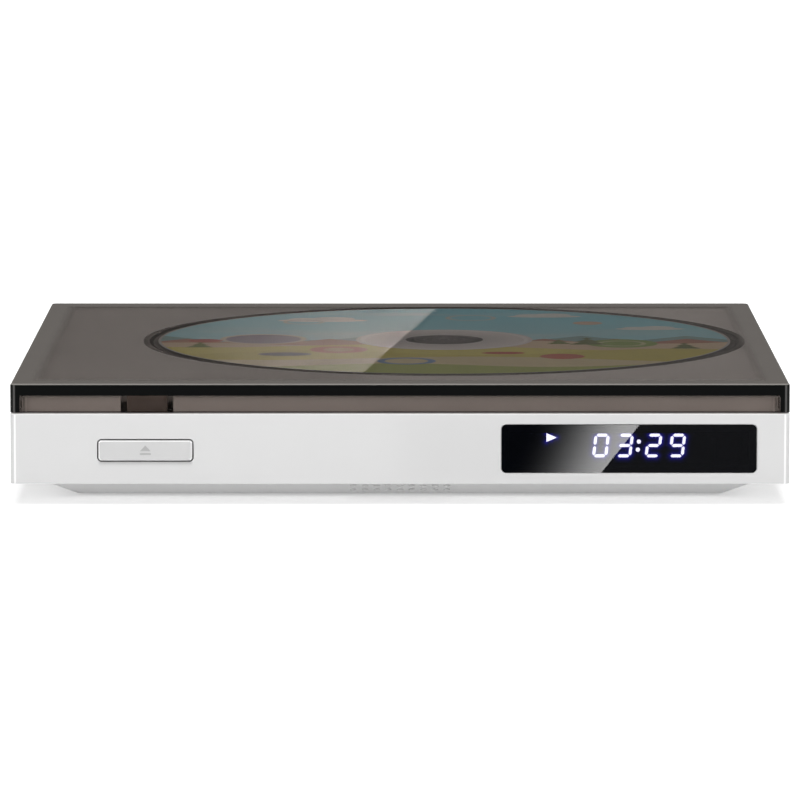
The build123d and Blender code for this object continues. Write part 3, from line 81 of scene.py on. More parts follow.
class Tree:
    """A node material: a Principled shader, and short calls that add nodes to it."""

    def __init__(self, name, **sockets):
        self.material = bpy.data.materials.new(name)
        self.material.use_nodes = True
        self.nodes = self.material.node_tree.nodes
        self.links = self.material.node_tree.links
        self.nodes.clear()
        self.output = self.nodes.new("ShaderNodeOutputMaterial")
        self.shader = self.nodes.new("ShaderNodeBsdfPrincipled")
        self.links.new(self.shader.outputs[0], self.output.inputs["Surface"])
        for key, value in sockets.items():
            self.shader.inputs[key.replace("_", " ")].default_value = value
        place = self.nodes.new("ShaderNodeTexCoord")
        self.coordinates = place.outputs["Object"]
        self.facing = place.outputs["Normal"]

    def put(self, socket, value):
        """Link another node's output to a socket, or set the socket itself."""
        if isinstance(value, bpy.types.NodeSocket):
            self.links.new(value, socket)
        else:
            socket.default_value = value

    def math(self, operation, *values):
        node = self.nodes.new("ShaderNodeMath")
        node.operation = operation
        for socket, value in zip(node.inputs, values):
            self.put(socket, value)
        return node.outputs[0]

    def times(self, first, *others):
        """Product of several values."""
        for value in others:
            first = self.math("MULTIPLY", first, value)
        return first

    def largest(self, first, *others):
        """Largest of several values: masks joined."""
        for value in others:
            first = self.math("MAXIMUM", first, value)
        return first

    def apart(self, first, second):
        """Distance between two values."""
        return self.math("ABSOLUTE", self.math("SUBTRACT", first, second))

    def length(self, first, second):
        """Length of the vector with these two parts."""
        squares = [self.math("MULTIPLY", part, part) for part in (first, second)]
        return self.math("SQRT", self.math("ADD", *squares))

    def linear(self, value, low, high, first=0.0, last=1.0, interpolation="LINEAR"):
        """From first, where value is low, to last, where it is high."""
        node = self.nodes.new("ShaderNodeMapRange")
        node.interpolation_type = interpolation
        for socket, number in zip(node.inputs, (value, low, high, first, last)):
            self.put(socket, number)
        return node.outputs[0]

    def smooth(self, value, low, high, first=0.0, last=1.0):
        return self.linear(value, low, high, first, last, "SMOOTHSTEP")

    def fading(self, value, low, high):
        return self.smooth(value, low, high, 1.0, 0.0)

    def band(self, value, start, full, falling, end):
        """1 from full to falling, and 0 before start and after end."""
        return self.times(self.smooth(value, start, full), self.fading(value, falling, end))

    def mix(self, factor, first, second, blend="MIX"):
        node = self.nodes.new("ShaderNodeMix")
        node.data_type = "RGBA"
        node.blend_type = blend
        self.put(node.inputs["Factor"], factor)
        self.put(node.inputs[6], first)
        self.put(node.inputs[7], second)
        return node.outputs[2]

    def scaled(self, x, y, z):
        node = self.nodes.new("ShaderNodeMapping")
        self.links.new(self.coordinates, node.inputs["Vector"])
        node.inputs["Scale"].default_value = (x, y, z)
        return node.outputs[0]

    def noise(self, scale, detail=3.0, vector=None):
        node = self.nodes.new("ShaderNodeTexNoise")
        self.links.new(vector or self.coordinates, node.inputs["Vector"])
        node.inputs["Scale"].default_value = scale
        node.inputs["Detail"].default_value = detail
        node.inputs["Roughness"].default_value = 0.5
        return node.outputs["Fac"]

    def varied(self, scale, detail, low, high):
        """A number that a noise varies between low and high."""
        return self.linear(self.noise(scale, detail), NOISE_LOW, NOISE_HIGH, low, high)

    def voronoi(self, scale, output="Distance"):
        node = self.nodes.new("ShaderNodeTexVoronoi")
        self.links.new(self.coordinates, node.inputs["Vector"])
        node.inputs["Scale"].default_value = scale
        return node.outputs[output]

    def axes(self, vector=None):
        node = self.nodes.new("ShaderNodeSeparateXYZ")
        self.links.new(vector or self.coordinates, node.inputs[0])
        return node.outputs

    def normal(self):
        return self.axes(self.facing)

    def shader_mix(self, factor, first, second):
        node = self.nodes.new("ShaderNodeMixShader")
        self.put(node.inputs[0], factor)
        self.links.new(first, node.inputs[1])
        self.links.new(second, node.inputs[2])
        return node.outputs[0]

    def bump(self, height, distance, strength):
        """Bump of a height given in mm, on top of any that is there already."""
        node = self.nodes.new("ShaderNodeBump")
        node.inputs["Strength"].default_value = strength
        node.inputs["Distance"].default_value = distance * MM
        self.put(node.inputs["Height"], height)
        previous = self.shader.inputs["Normal"].links
        if previous:
            self.links.new(previous[0].from_socket, node.inputs["Normal"])
        self.links.new(node.outputs[0], self.shader.inputs["Normal"])

    def base(self):
        """What the base colour is linked to so far."""
        return self.shader.inputs["Base Color"].links[0].from_socket

    def colour(self, value):
        self.put(self.shader.inputs["Base Color"], value)

    def roughness(self, value):
        self.put(self.shader.inputs["Roughness"], value)


def shades(code, spread):
    """Two shades either side of a colour."""
    middle = srgb(code)
    return tuple(tuple(c * (1 + way * spread) for c in middle[:3]) + (1.0,) for way in (-1, 1))


def plastic(name, code, rough=0.4, spread=0.03, grain=0.006, specular=0.5,
            grain_scale=FINE_GRAIN, uneven=0.04):
    """Moulded plastic: slight mottling of colour, and a fine spark-eroded grain."""
    tree = Tree(name, Specular_IOR_Level=specular, IOR=PLASTIC_IOR)
    tree.colour(tree.mix(tree.noise(160.0, 4.0), *shades(code, spread)))
    tree.roughness(tree.varied(500.0, 2.0, rough - uneven, rough + uneven))
    tree.bump(tree.noise(grain_scale, 2.0), grain, 0.5)
    return tree


def metal(name, code, rough=0.3, stretch=(1.0, 1.0, 1.0), grain=0.003):
    """Metal with a grain drawn along the axis whose stretch is smallest."""
    tree = Tree(name, Metallic=1.0)
    vector = tree.scaled(*stretch)
    lines = tree.noise(FINE_GRAIN, 3.0, vector)
    tree.colour(tree.mix(tree.noise(300.0, 3.0, vector), *shades(code, 0.08)))
    tree.roughness(tree.linear(lines, 0.25, 0.75, rough - 0.08, rough + 0.1))
    tree.bump(lines, grain, 0.6)
    return tree


def turned(name, code, centre, axis, rough=0.28):
    """Metal turned on a lathe: fine rings about an axis through centre, in metres."""
    tree = Tree(name, Metallic=1.0)
    x, y, z = tree.axes()
    across = {"X": (y, z), "Y": (x, z), "Z": (x, y)}[axis]
    radius = tree.length(*(tree.math("SUBTRACT", part, middle)
                           for part, middle in zip(across, centre)))
    rings_per_metre = 22000.0
    rings = tree.math("SINE", tree.math("MULTIPLY", radius, rings_per_metre))
    uneven = tree.noise(700.0, 3.0)
    tree.colour(tree.mix(uneven, *shades(code, 0.06)))
    tree.roughness(tree.linear(uneven, NOISE_LOW, NOISE_HIGH, rough - 0.06, rough + 0.08))
    tree.bump(rings, 0.002, 0.5)
    return tree


# White housing: upper shell, bottom cover and button

button_low, button_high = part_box("open_button")
button_middle = (button_low.x + button_high.x) / 2
button_half = 9.3 * MM
button_foot = 8.5 * MM
shell_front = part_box("upper_shell")[0].y
body_top = 18.1 * MM
rim_reach = 0.35 * MM
front_reach = 0.45 * MM
shade_low = button_foot - 1.3 * MM
shade_high = button_foot + 0.1 * MM
shade_depth = 0.5 * MM


def painted_edge_highlights(tree, front):
    """Painted highlights: the narrow roundings of the front that face up or to a side are painted
    white, as if lit.
    """
    y, z = tree.axes()[1:]
    nx, ny, nz = tree.normal()
    at_rim = tree.math("LESS_THAN", tree.apart(z, body_top), rim_reach)
    near = tree.largest(tree.math("LESS_THAN", y, front + front_reach), at_rim)
    upper = tree.band(nz, 0.12, 0.3, 0.8, 0.95)
    corner = tree.times(tree.band(tree.math("ABSOLUTE", nx), 0.06, 0.16, 0.3, 0.45),
                        tree.math("LESS_THAN", ny, -0.5))
    # Painted highlight: white on the upward roundings near the front and the body's top edge, and
    # down the front corners
    edges = tree.largest(tree.times(upper, near), corner)
    tree.colour(tree.mix(edges, tree.base(), WHITE))
    return tree


def housing(name, code, rough):
    """Glossy white housing, with a painted shadow on its front just under the button."""
    tree = plastic(name, code, rough, spread=0.008, grain=0.0008, specular=0.4, uneven=0.015)
    x, y, z = tree.axes()
    # Painted shadow of the button, grey on the front just below its foot
    shade = tree.times(
        tree.math("POWER", tree.smooth(z, shade_low, shade_high), 2.0),
        tree.fading(tree.apart(x, button_middle), button_half - 0.5 * MM, button_half + 0.2 * MM),
        tree.math("LESS_THAN", z, shade_high),
        tree.math("LESS_THAN", y, shell_front + shade_depth))
    tree.colour(tree.mix(shade, tree.base(), srgb("b2b2b2")))
    return tree


white_shell = painted_edge_highlights(housing("white_shell", "dcdcdc", 0.2), shell_front)
# The bottom cover is painted paler than the shell: painted light that lifts the shade on its low
# front strip
white_base = housing("white_base", "fafafa", 0.42)
white_button = painted_edge_highlights(
    plastic("white_button", "d2d2d2", 0.24, spread=0.005, grain=0.0008, specular=0.4, uneven=0.01),
    button_low.y)


# Smoked lid: a clear tinted shell that bends what is seen through it, with a rim painted in the
# colour of the lit deck seen through it

lid_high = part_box("lid")[1]
half_width = lid_high.x
half_depth = lid_high.y
plate_edge = lid_high.z - 2.35 * MM
rim_zone = lid_high.z - 0.6 * MM
rim_front = 4.3 * MM
rim_rear = 6.0 * MM
rim_side = 3.4 * MM
rim_fade = 3.2 * MM
edge_turn = 0.45
flat_turn = 0.98
foot_edge = 18.5 * MM
wall_thickness = 1.9 * MM
outer_skin = 0.4 * MM
corner_line = 0.8 * MM
acrylic_ior = 1.49
haze = 0.02


def smoked_lid():
    tree = Tree("smoked_acrylic", Specular_IOR_Level=0.03, IOR=acrylic_ior)
    x, y, z = tree.axes()
    up = tree.math("ABSOLUTE", tree.normal()[2])
    from_side = tree.math("SUBTRACT", half_width, tree.math("ABSOLUTE", x))
    from_end = tree.math("SUBTRACT", half_depth, tree.math("ABSOLUTE", y))

    # Rim on the top face, fading inwards: a painted view of the lit deck over the shade along the
    # walls. Its rounded edge is lighter, a painted highlight
    zones = ((tree.math("ADD", y, half_depth), rim_front),
             (tree.math("SUBTRACT", half_depth, y), rim_rear),
             (from_side, rim_side))
    rim = tree.largest(*(tree.fading(inwards, width, width + rim_fade)
                         for inwards, width in zones))
    high = tree.math("GREATER_THAN", z, rim_zone)
    on_top = tree.times(high, tree.math("GREATER_THAN", up, edge_turn))
    rim = tree.times(rim, on_top)
    rounding = tree.times(on_top, tree.math("LESS_THAN", up, flat_turn))

    # Painted darkness of looking edge-on into the smoked acrylic, at the plate's edge and the
    # corners of the outer walls, a painted seam shadow at their foot, and a painted highlight line
    # down each corner
    wall = tree.math("LESS_THAN", up, edge_turn)
    outer = tree.math("LESS_THAN", tree.math("MINIMUM", from_side, from_end), outer_skin)
    into_corner = tree.math("MAXIMUM", from_side, from_end)
    corner = tree.math("LESS_THAN", into_corner, wall_thickness)
    edge = tree.largest(tree.math("GREATER_THAN", z, plate_edge), corner,
                        tree.math("LESS_THAN", z, foot_edge))
    edge = tree.times(edge, wall, outer)
    pale = tree.fading(tree.apart(into_corner, corner_line), 0.1 * MM, 0.3 * MM)
    pale = tree.times(pale, corner)

    face = tree.mix(tree.noise(90.0, 3.0), srgb("6e6761"), srgb("736d67"))
    # Painted highlight on the top rounding
    face = tree.mix(rounding, face, srgb("86837f"))
    # Near-black painted shade, with the painted highlight line at the corners
    dark = tree.mix(pale, srgb("060707"), srgb("565554"))
    tree.colour(tree.mix(edge, face, dark))
    tree.roughness(tree.varied(1400.0, 4.0, 0.05, 0.1))
    tree.bump(tree.noise(35.0, 2.0), 0.002, 0.08)

    # Tint: only the outer faces bend what is seen, and lamps pass straight through. The walls are
    # warmer than the plate,
    # and a little lighter towards their foot: painted light that lifts the shade seen through their
    # lower part.
    tint = tree.mix(tree.noise(60.0, 3.0), srgb("d9d6d4"), srgb("dedbd9"))
    # Painted light: a lighter tint towards the walls' foot
    lighter = tree.smooth(z, foot_edge, plate_edge, 1.05, 1.0)
    wall_lift_and_warmth = tree.nodes.new("ShaderNodeCombineXYZ")
    for socket, warmth in zip(wall_lift_and_warmth.inputs, (0.995, 0.98, 0.975)):
        tree.put(socket, tree.times(lighter, warmth))
    tint = tree.mix(wall, tint, tree.mix(1.0, tint, wall_lift_and_warmth.outputs[0], "MULTIPLY"))
    bent = tree.nodes.new("ShaderNodeBsdfRefraction")
    bent.inputs["IOR"].default_value = acrylic_ior
    bent.inputs["Roughness"].default_value = 0.0
    tree.links.new(tint, bent.inputs["Color"])
    straight = tree.nodes.new("ShaderNodeBsdfTransparent")
    tree.links.new(tint, straight.inputs["Color"])
    path = tree.nodes.new("ShaderNodeLightPath").outputs
    seen = tree.largest(path["Is Camera Ray"], path["Is Transmission Ray"])
    inside = tree.nodes.new("ShaderNodeNewGeometry").outputs["Backfacing"]
    entered = tree.largest(tree.math("SUBTRACT", 1.0, inside), path["Is Transmission Ray"])
    bend = tree.times(seen, tree.largest(outer, high), entered)
    clear = tree.shader_mix(bend, straight.outputs[0], bent.outputs[0])

    # Haze, the painted dark edges and the painted rim, which casts no shadow, then the gloss over
    # all of it
    rim = tree.times(rim, tree.math("SUBTRACT", 1.0, path["Is Shadow Ray"]))
    body = tree.shader_mix(tree.largest(rim, edge, haze), clear, tree.shader.outputs[0])
    gloss = tree.nodes.new("ShaderNodeBsdfGlossy")
    gloss.inputs["Roughness"].default_value = 0.05
    fresnel = tree.nodes.new("ShaderNodeFresnel")
    fresnel.inputs["IOR"].default_value = acrylic_ior
    share = tree.times(fresnel.outputs[0], tree.linear(up, 0.0, 1.0, 0.03, 0.25))
    polished = tree.shader_mix(share, body, gloss.outputs[0])
    tree.links.new(polished, tree.output.inputs["Surface"])
    return tree


lid_material = smoked_lid()


# Disc: pale hub zone, and a plain printed design of hills, clouds and rings. Lengths on it are
# in mm, from its middle.

disc_low, disc_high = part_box("disc")
disc_centre = (disc_low + disc_high) / 2
disc_axis = (disc_centre.x, disc_centre.y)
hole_shadow_edge = 8.0
hub_end = 16.5
stacking_ring = (16.6, 16.9, 17.5, 17.8)
print_start = 18.4
mirror_start = 20.5
print_end = 59.3
soft_edge = 0.25


def disc_print():
    tree = Tree("disc_print", Roughness=0.08, IOR=PLASTIC_IOR, Specular_IOR_Level=0.5)
    x, y, z = tree.axes()
    u = tree.math("MULTIPLY", tree.math("SUBTRACT", x, disc_centre.x), 1 / MM)
    v = tree.math("MULTIPLY", tree.math("SUBTRACT", y, disc_centre.y), 1 / MM)
    radius = tree.length(u, v)

    # Ground of the print: a pale blue field that deepens towards the back, with soft streaks
    height = tree.math("ADD", v, tree.varied(45.0, 4.0, -3.0, 3.0))
    field = tree.mix(tree.linear(height, -20.0, 58.0), srgb("b1e0ea"), srgb("8cdbf0"))
    streak = tree.noise(30.0, 4.0, tree.scaled(0.5, 3.0, 1.0))
    field = tree.mix(tree.smooth(streak, 0.5, 0.72, 0.0, 0.4), field, srgb("d5e2e3"))

    def below(line):
        return tree.smooth(tree.math("SUBTRACT", line, v), -soft_edge, soft_edge)

    def wave(base, rise, length, phase, lean=0.0):
        swing = tree.math("SINE", tree.math("ADD", tree.math("DIVIDE", u, length), phase))
        line = tree.math("ADD", tree.math("MULTIPLY", swing, rise), base)
        return below(tree.math("ADD", line, tree.math("MULTIPLY", u, lean)))

    def ridge(base, rise, length, phase):
        step = tree.math("PINGPONG", tree.math("ADD", u, phase), length)
        return below(tree.math("ADD", tree.math("MULTIPLY", step, rise / length), base))

    def spot(place_u, place_v, size, width=None):
        """A filled circle, or a ring where a width is given."""
        away = tree.length(tree.math("SUBTRACT", u, place_u), tree.math("SUBTRACT", v, place_v))
        if width is None:
            return tree.fading(tree.math("SUBTRACT", away, size), -0.2, 0.2)
        return tree.fading(tree.apart(away, size), width / 2 - 0.15, width / 2 + 0.15)

    def oval(place_u, place_v, half_u, half_v):
        du = tree.math("DIVIDE", tree.math("SUBTRACT", u, place_u), half_u)
        dv = tree.math("DIVIDE", tree.math("SUBTRACT", v, place_v), half_v)
        return tree.fading(tree.length(du, dv), 0.94, 1.06)

    def cloud(place_u, place_v, size):
        """Three puffs, given as shares of the size: place and half widths."""
        puffs = ((0.0, 0.0, 1.6, 0.45), (-0.6, 0.35, 0.65, 0.5), (0.35, 0.5, 0.8, 0.65))
        return tree.largest(*(oval(place_u + du * size, place_v + dv * size, hu * size, hv * size)
                              for du, dv, hu, hv in puffs))

    def fir(place_u, place_v, width, height):
        """A tree of three tiers."""
        up = tree.math("SUBTRACT", v, place_v)
        tier = tree.math("FRACT", tree.math("DIVIDE", up, height / 3))
        notch = tree.math("MULTIPLY", tier, width * 0.16)
        reach = tree.math("SUBTRACT", tree.linear(up, 0.0, height, width / 2, 0.0), notch)
        inside = tree.smooth(tree.math("SUBTRACT", reach, tree.apart(u, place_u)), -0.15, 0.15)
        return tree.times(inside, tree.math("GREATER_THAN", up, 0.0))

    # From the back of the picture to its front
    layers = [
        (cloud(-26.0, 36.0, 6.0), "e6efee"),
        (cloud(22.0, 44.0, 5.0), "e6efee"),
        (cloud(44.0, 20.0, 4.6), "e6efee"),
        (ridge(-2.0, 9.0, 11.0, 4.0), "8fb3b4"),
        (ridge(-4.5, 6.0, 7.5, 1.5), "b98a76"),
        (wave(-6.0, 3.5, 11.0, 0.4, 0.05), "deccb1"),
        (wave(-13.0, 4.0, 14.0, 2.1, -0.06), "dbd578"),
        (wave(-23.0, 5.0, 12.0, 4.0, 0.04), "d0c96d"),
        (wave(-34.0, 4.0, 16.0, 1.0, -0.05), "ddd4af"),
        (wave(-45.0, 3.0, 10.0, 2.6), "b1c06f"),
        (spot(-38.0, 1.0, 8.5), "8a8197"),
        (spot(-38.0, 1.0, 8.5, 1.2), "d6ceba"),
        (spot(-22.0, -18.0, 6.0), "cd7f6b"),
        (spot(-22.0, -18.0, 3.2), "d8c894"),
        (spot(37.0, -7.0, 7.5), "94af64"),
        (spot(37.0, -7.0, 4.6, 1.0), "c8cea1"),
        (spot(24.0, -30.0, 4.6), "c97663"),
        (spot(-8.0, -38.0, 5.2, 1.6), "809dc5"),
        (spot(6.0, 41.0, 5.0, 1.1), "c8d7d5"),
        (spot(31.0, 31.0, 3.2), "d7c2b1"),
        (spot(-30.0, 33.0, 4.0, 1.0), "c8d7d5"),
        (fir(30.0, -9.0, 8.0, 15.0), "6d7c45"),
        (fir(24.0, -8.0, 5.5, 10.0), "7a8a4c"),
        (fir(50.0, -16.0, 6.5, 12.0), "6d7c45"),
        (fir(-51.0, -14.0, 6.0, 11.0), "7a8a4c"),
        (oval(-33.0, -26.0, 5.5, 3.2), "4e4c5e"),
        (oval(-50.0, -2.0, 3.6, 3.0), "c06455"),
        (oval(12.0, -24.0, 4.5, 2.2), "c06455"),
    ]
    picture = field
    for mask, code in layers:
        picture = tree.mix(mask, picture, srgb(code))
    speckle = tree.linear(tree.voronoi(FINE_GRAIN), 0.1, 0.9, 0.0, 0.06)
    picture = tree.mix(speckle, picture, srgb("8b8a84"))

    # Pale hub zone with a painted shadow round the hole's rim and the stacking ring, then the print
    # and its margin.
    # The underside is a mirror.
    hub = tree.mix(tree.smooth(radius, hole_shadow_edge, hub_end), srgb("c9c9cb"), srgb("dcdbdc"))
    # Painted shadow round the hole
    hub = tree.mix(tree.fading(radius, hole_shadow_edge, hole_shadow_edge + 0.3), hub, srgb("4c4c50"))
    hub = tree.mix(tree.times(tree.band(radius, *stacking_ring), 0.6), hub, srgb("f4f4f4"))
    face = tree.mix(tree.smooth(radius, print_start, print_start + 0.3), hub, picture)
    face = tree.mix(tree.smooth(radius, print_end, print_end + 0.2), face, srgb("b9bab9"))
    top = tree.math("GREATER_THAN", z, disc_high.z - 0.05 * MM)
    tree.colour(tree.mix(top, srgb("c4c4c8"), face))
    mirror = tree.times(tree.smooth(radius, mirror_start, mirror_start + 0.5),
                        tree.math("SUBTRACT", 1.0, top))
    tree.put(tree.shader.inputs["Metallic"], tree.times(mirror, 0.9))
    tree.roughness(tree.varied(1200.0, 3.0, 0.01, 0.016))
    tracks = tree.math("SINE", tree.math("MULTIPLY", radius, 9.0))
    tree.bump(tree.times(tracks, mirror), 0.001, 0.3)
    return tree


disc_material = disc_print()


# Display window: smoked black, with the lit figures behind it. Its front face is nearly opaque,
# its back face clear and its edges solid.

window_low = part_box("display_window")[0]
window_skin = 0.1 * MM


def smoked_window():
    tree = Tree("smoked_window", Specular_IOR_Level=0.05, IOR=PLASTIC_IOR)
    cloud = tree.noise(120.0, 3.0)
    tree.colour(tree.mix(cloud, srgb("040508"), srgb("07080c")))
    y = tree.axes()[1]
    flat = tree.math("GREATER_THAN", tree.math("ABSOLUTE", tree.normal()[1]), 0.7)
    back = tree.times(flat, tree.math("GREATER_THAN", y, window_low.y + window_skin))
    front = tree.math("SUBTRACT", flat, back)
    glass = tree.times(front, tree.linear(cloud, NOISE_LOW, NOISE_HIGH, 0.977, 0.983))
    edges = tree.math("SUBTRACT", 1.0, flat)
    tree.put(tree.shader.inputs["Alpha"], tree.math("ADD", glass, edges))
    tree.roughness(tree.varied(1500.0, 3.0, 0.018, 0.022))
    return tree


window_material = smoked_window()


def circuit(name, board, trace, side):
    """Circuit board: solder mask with copper runs showing through it, and plated dots."""
    runs_per_metre, cross_runs_per_metre = 780.0, 640.0
    blocks_per_metre, pads_per_metre = 210.0, 420.0
    tree = Tree(name, Roughness=0.35)
    x, y, z = tree.axes()
    along, across = {"Z": (x, y), "Y": (x, z)}[side]

    def lines(value, pitch, share):
        return tree.math("LESS_THAN", tree.math("FRACT", tree.times(value, pitch)), share)

    blocks = tree.axes(tree.voronoi(blocks_per_metre, "Color"))[0]
    on = tree.math("GREATER_THAN", blocks, 0.45)
    run = tree.times(lines(along, runs_per_metre, 0.38), on)
    cross = tree.times(lines(across, cross_runs_per_metre, 0.3), tree.math("SUBTRACT", 1.0, on))
    run = tree.largest(run, cross)
    mask = tree.mix(tree.noise(200.0, 3.0), *shades(board, 0.08))
    mask = tree.mix(tree.times(run, 0.7), mask, srgb(trace))
    pads = tree.math("LESS_THAN", tree.voronoi(pads_per_metre), 0.16)
    tree.colour(tree.mix(pads, mask, srgb("c9c4b4")))
    tree.bump(run, 0.03, 0.4)
    return tree


def well_plastic():
    """Grey well, its step and floor darker than its wall: painted shade of the ring round the disc.
    """
    tree = plastic("well_grey", "7d7772", 0.22, spread=0.04, grain=0.004)
    painted_upward_shade = tree.smooth(tree.normal()[2], 0.5, 0.8, 0.0, 0.6)
    tree.colour(tree.mix(painted_upward_shade, tree.base(), srgb("3f3b38")))
    return tree


def hub_plastic():
    """Dark hub with turned steps and a pale steel pin in the middle."""
    rings_per_metre = 3300.0
    pin = 0.9 * MM
    tree = plastic("hub_plastic", "353334", 0.36, spread=0.05)
    x, y = tree.axes()[:2]
    radius = tree.length(tree.math("SUBTRACT", x, disc_axis[0]),
                         tree.math("SUBTRACT", y, disc_axis[1]))
    rings = tree.math("SINE", tree.math("MULTIPLY", radius, rings_per_metre))
    steps = tree.mix(tree.smooth(rings, 0.55, 0.9, 0.0, 0.5), tree.base(), srgb("6c6a6a"))
    tree.colour(tree.mix(tree.fading(radius, pin, pin + 0.3 * MM), steps, srgb("b9b8b8")))
    tree.bump(rings, 0.03, 0.5)
    return tree


def lens_glass():
    tree = Tree("lens_glass", IOR=1.52, Transmission_Weight=0.7, Roughness=0.02)
    tree.colour(tree.mix(tree.noise(900.0, 2.0), srgb("9fb4d8"), srgb("c0b2e0")))
    return tree


# One material per CAD node

screw_low, screw_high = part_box("lead_screw")
screw_axis = ((screw_low.x + screw_high.x) / 2, (screw_low.z + screw_high.z) / 2)
along_x = (0.05, 1.0, 1.0)
along_y = (1.0, 0.05, 1.0)

looks = {
    "upper_shell": white_shell,
    "bottom_cover": white_base,
    "open_button": white_button,
    "lid": lid_material,
    "disc": disc_material,
    "display_window": window_material,
    "disc_well": well_plastic(),
    "lid_hook": plastic("hook_grey", "857c77", 0.38, spread=0.04),
    "latch_slider": plastic("slider_black", "1d1d1f", 0.45),
    "rubber_feet": plastic("rubber_black", "1c1c1c", 0.85, spread=0.12, grain=0.03, specular=0.3,
                           grain_scale=2500.0),
    "damper_bushes": plastic("soft_rubber", "2a2a2c", 0.8, spread=0.1, grain=0.02, specular=0.3),
    "turntable_pad": plastic("pad_rubber", "232325", 0.9, spread=0.1, grain=0.02, specular=0.3),
    "spindle_hub": hub_plastic(),
    "chuck_claws": plastic("claw_plastic", "4a4848", 0.35, spread=0.04),
    "switch_plunger": plastic("plunger_plastic", "26262a", 0.35),
    "lid_switch": plastic("switch_plastic", "2e3138"),
    "display_module": plastic("module_plastic", "131318"),
    "ir_receiver": plastic("ir_plastic", "1b1418", 0.15, spread=0.05, grain=0.002),
    "display_board": circuit("display_board", "17382b", "2f6a4d", "Y"),
    "main_board": circuit("main_board", "145034", "2c8a58", "Z"),
    "board_chips": plastic("chip_epoxy", "1a1a1b", 0.5, spread=0.1, grain=0.01),
    "capacitors": metal("capacitor_can", "b9bcc2", 0.25, stretch=(1.0, 1.0, 0.1)),
    "flat_cable": plastic("cable_white", "d9d9d4", 0.45),
    "hdmi_socket": metal("socket_steel", "c3c3c6", 0.22),
    "usb_socket": metal("port_steel", "c8c8cb", 0.22),
    "av_jack": plastic("jack_black", "1b1b1d", 0.35),
    "power_socket": plastic("inlet_black", "1d1d1e"),
    "traverse_chassis": metal("chassis_steel", "b4b6ba", 0.36, stretch=(0.15, 1.0, 1.0)),
    "spindle_motor": turned("motor_steel", "b8b9bc", disc_axis, "Z"),
    "motor_rotor": turned("rotor_steel", "c2c3c6", disc_axis, "Z", 0.22),
    "guide_rods": metal("rod_steel", "d0d1d4", 0.12, along_y, grain=0.001),
    "rod_clamps": plastic("clamp_plastic", "8d8f92", 0.42),
    "sled": metal("sled_zinc", "9a9ca0", 0.42, grain=0.006),
    "laser_unit": plastic("laser_housing", "26272b"),
    "sled_nut": plastic("nut_plastic", "e3e0d2"),
    "actuator_magnets": metal("magnet_nickel", "a8a9ad", 0.2),
    "suspension_block": plastic("suspension_plastic", "222226", 0.45),
    "lens_holder": plastic("holder_plastic", "2c2f38", 0.35),
    "lead_screw": turned("screw_steel", "c0c1c5", screw_axis, "Y", 0.2),
    "sled_motor": turned("sled_motor_steel", "b2b3b7", screw_axis, "Y", 0.26),
    "hinge_pins": metal("pin_steel", "c4c5c8", 0.18, along_x, grain=0.001),
    "button_spring": metal("spring_steel", "b0b2b6", 0.25),
    "case_screws": metal("screw_zinc", "b5b6ba", 0.25),
    "well_screws": metal("well_screw_zinc", "b5b6ba", 0.25),
    "chassis_screws": metal("chassis_screw_zinc", "b5b6ba", 0.25),
    "board_screws": metal("board_screw_zinc", "b5b6ba", 0.25),
    "lens": lens_glass(),
}

for name, node in nodes.items():
    for slot in node.material_slots:
        slot.material = looks[name].material


# Mesh pieces

def add_object(name, data):
    """A new object in the scene."""
    made = bpy.data.objects.new(name, data)
    bpy.context.scene.collection.objects.link(made)
    return made


def piece(name, body, tree, build):
    """A mesh piece that rides on a body: build fills its bmesh, in mm in the CAD's frame."""
    mesh = bpy.data.meshes.new(name)
    shape = bmesh.new()
    build(shape)
    bmesh.ops.scale(shape, vec=(MM, MM, MM), verts=shape.verts)
    bmesh.ops.recalc_face_normals(shape, faces=shape.faces)
    shape.to_mesh(mesh)
    shape.free()
    made = add_object(name, mesh)
    mesh.materials.append(tree.material)
    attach(made, body)


def prism(shape, outline, y_front, y_back):
    """A plate facing the front: outline is (x, z) pairs in mm."""
    front = [shape.verts.new((x, y_front, z)) for x, z in outline]
    back = [shape.verts.new((x, y_back, z)) for x, z in outline]
    shape.faces.new(front)
    shape.faces.new(list(reversed(back)))
    count = len(outline)
    for i in range(count):
        shape.faces.new((front[i], front[(i + 1) % count], back[(i + 1) % count], back[i]))


def rounded(x_low, x_high, z_low, z_high, radius, steps):
    """Outline of a rounded rectangle, as (x, z) pairs."""
    corners = (
        (x_high - radius, z_high - radius, 0),
        (x_low + radius, z_high - radius, 90),
        (x_low + radius, z_low + radius, 180),
        (x_high - radius, z_low + radius, 270),
    )
    points = []
    for cx, cz, start in corners:
        for step in range(steps + 1):
            angle = math.radians(start + 90 * step / steps)
            points.append((cx + radius * math.cos(angle), cz + radius * math.sin(angle)))
    return points


# Lit figures: each stroke is a plate with pointed ends, on the module's face. Sizes are in mm.

def lit(name, code, strength):
    tree = Tree(name, Roughness=0.5)
    tree.shader.inputs["Emission Strength"].default_value = strength
    tint = tree.mix(tree.noise(700.0, 2.0), srgb(code), WHITE)
    tree.put(tree.shader.inputs["Emission Color"], tint)
    tree.colour(tint)
    return tree


module_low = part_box("display_module")[0]
figure_back = module_low.y / MM
figure_front = figure_back - 0.07
digit_bottom = 9.22
digit_top = 13.92
digit_slant = math.tan(math.radians(6.7))
stroke = 0.58
stroke_gap = 0.12
segments_of = {0: "abcdef", 2: "abged", 3: "abgcd", 9: "abcdfg"}
digit_places = ((0, 37.95, 40.95), (3, 42.65, 45.7), (2, 48.35, 51.35), (9, 53.05, 56.05))
colon_middle = 46.85
colon_heights = (10.75, 12.35)
dot_radius = 0.42
dot_sides = 16
play_mark = [(28.95, 12.3), (30.95, 13.15), (28.95, 14.0)]
play_inside = [(29.6, 13.15), (29.9, 12.7), (29.9, 13.6)]


def slanted(x, z):
    return x + (z - digit_bottom) * digit_slant, z


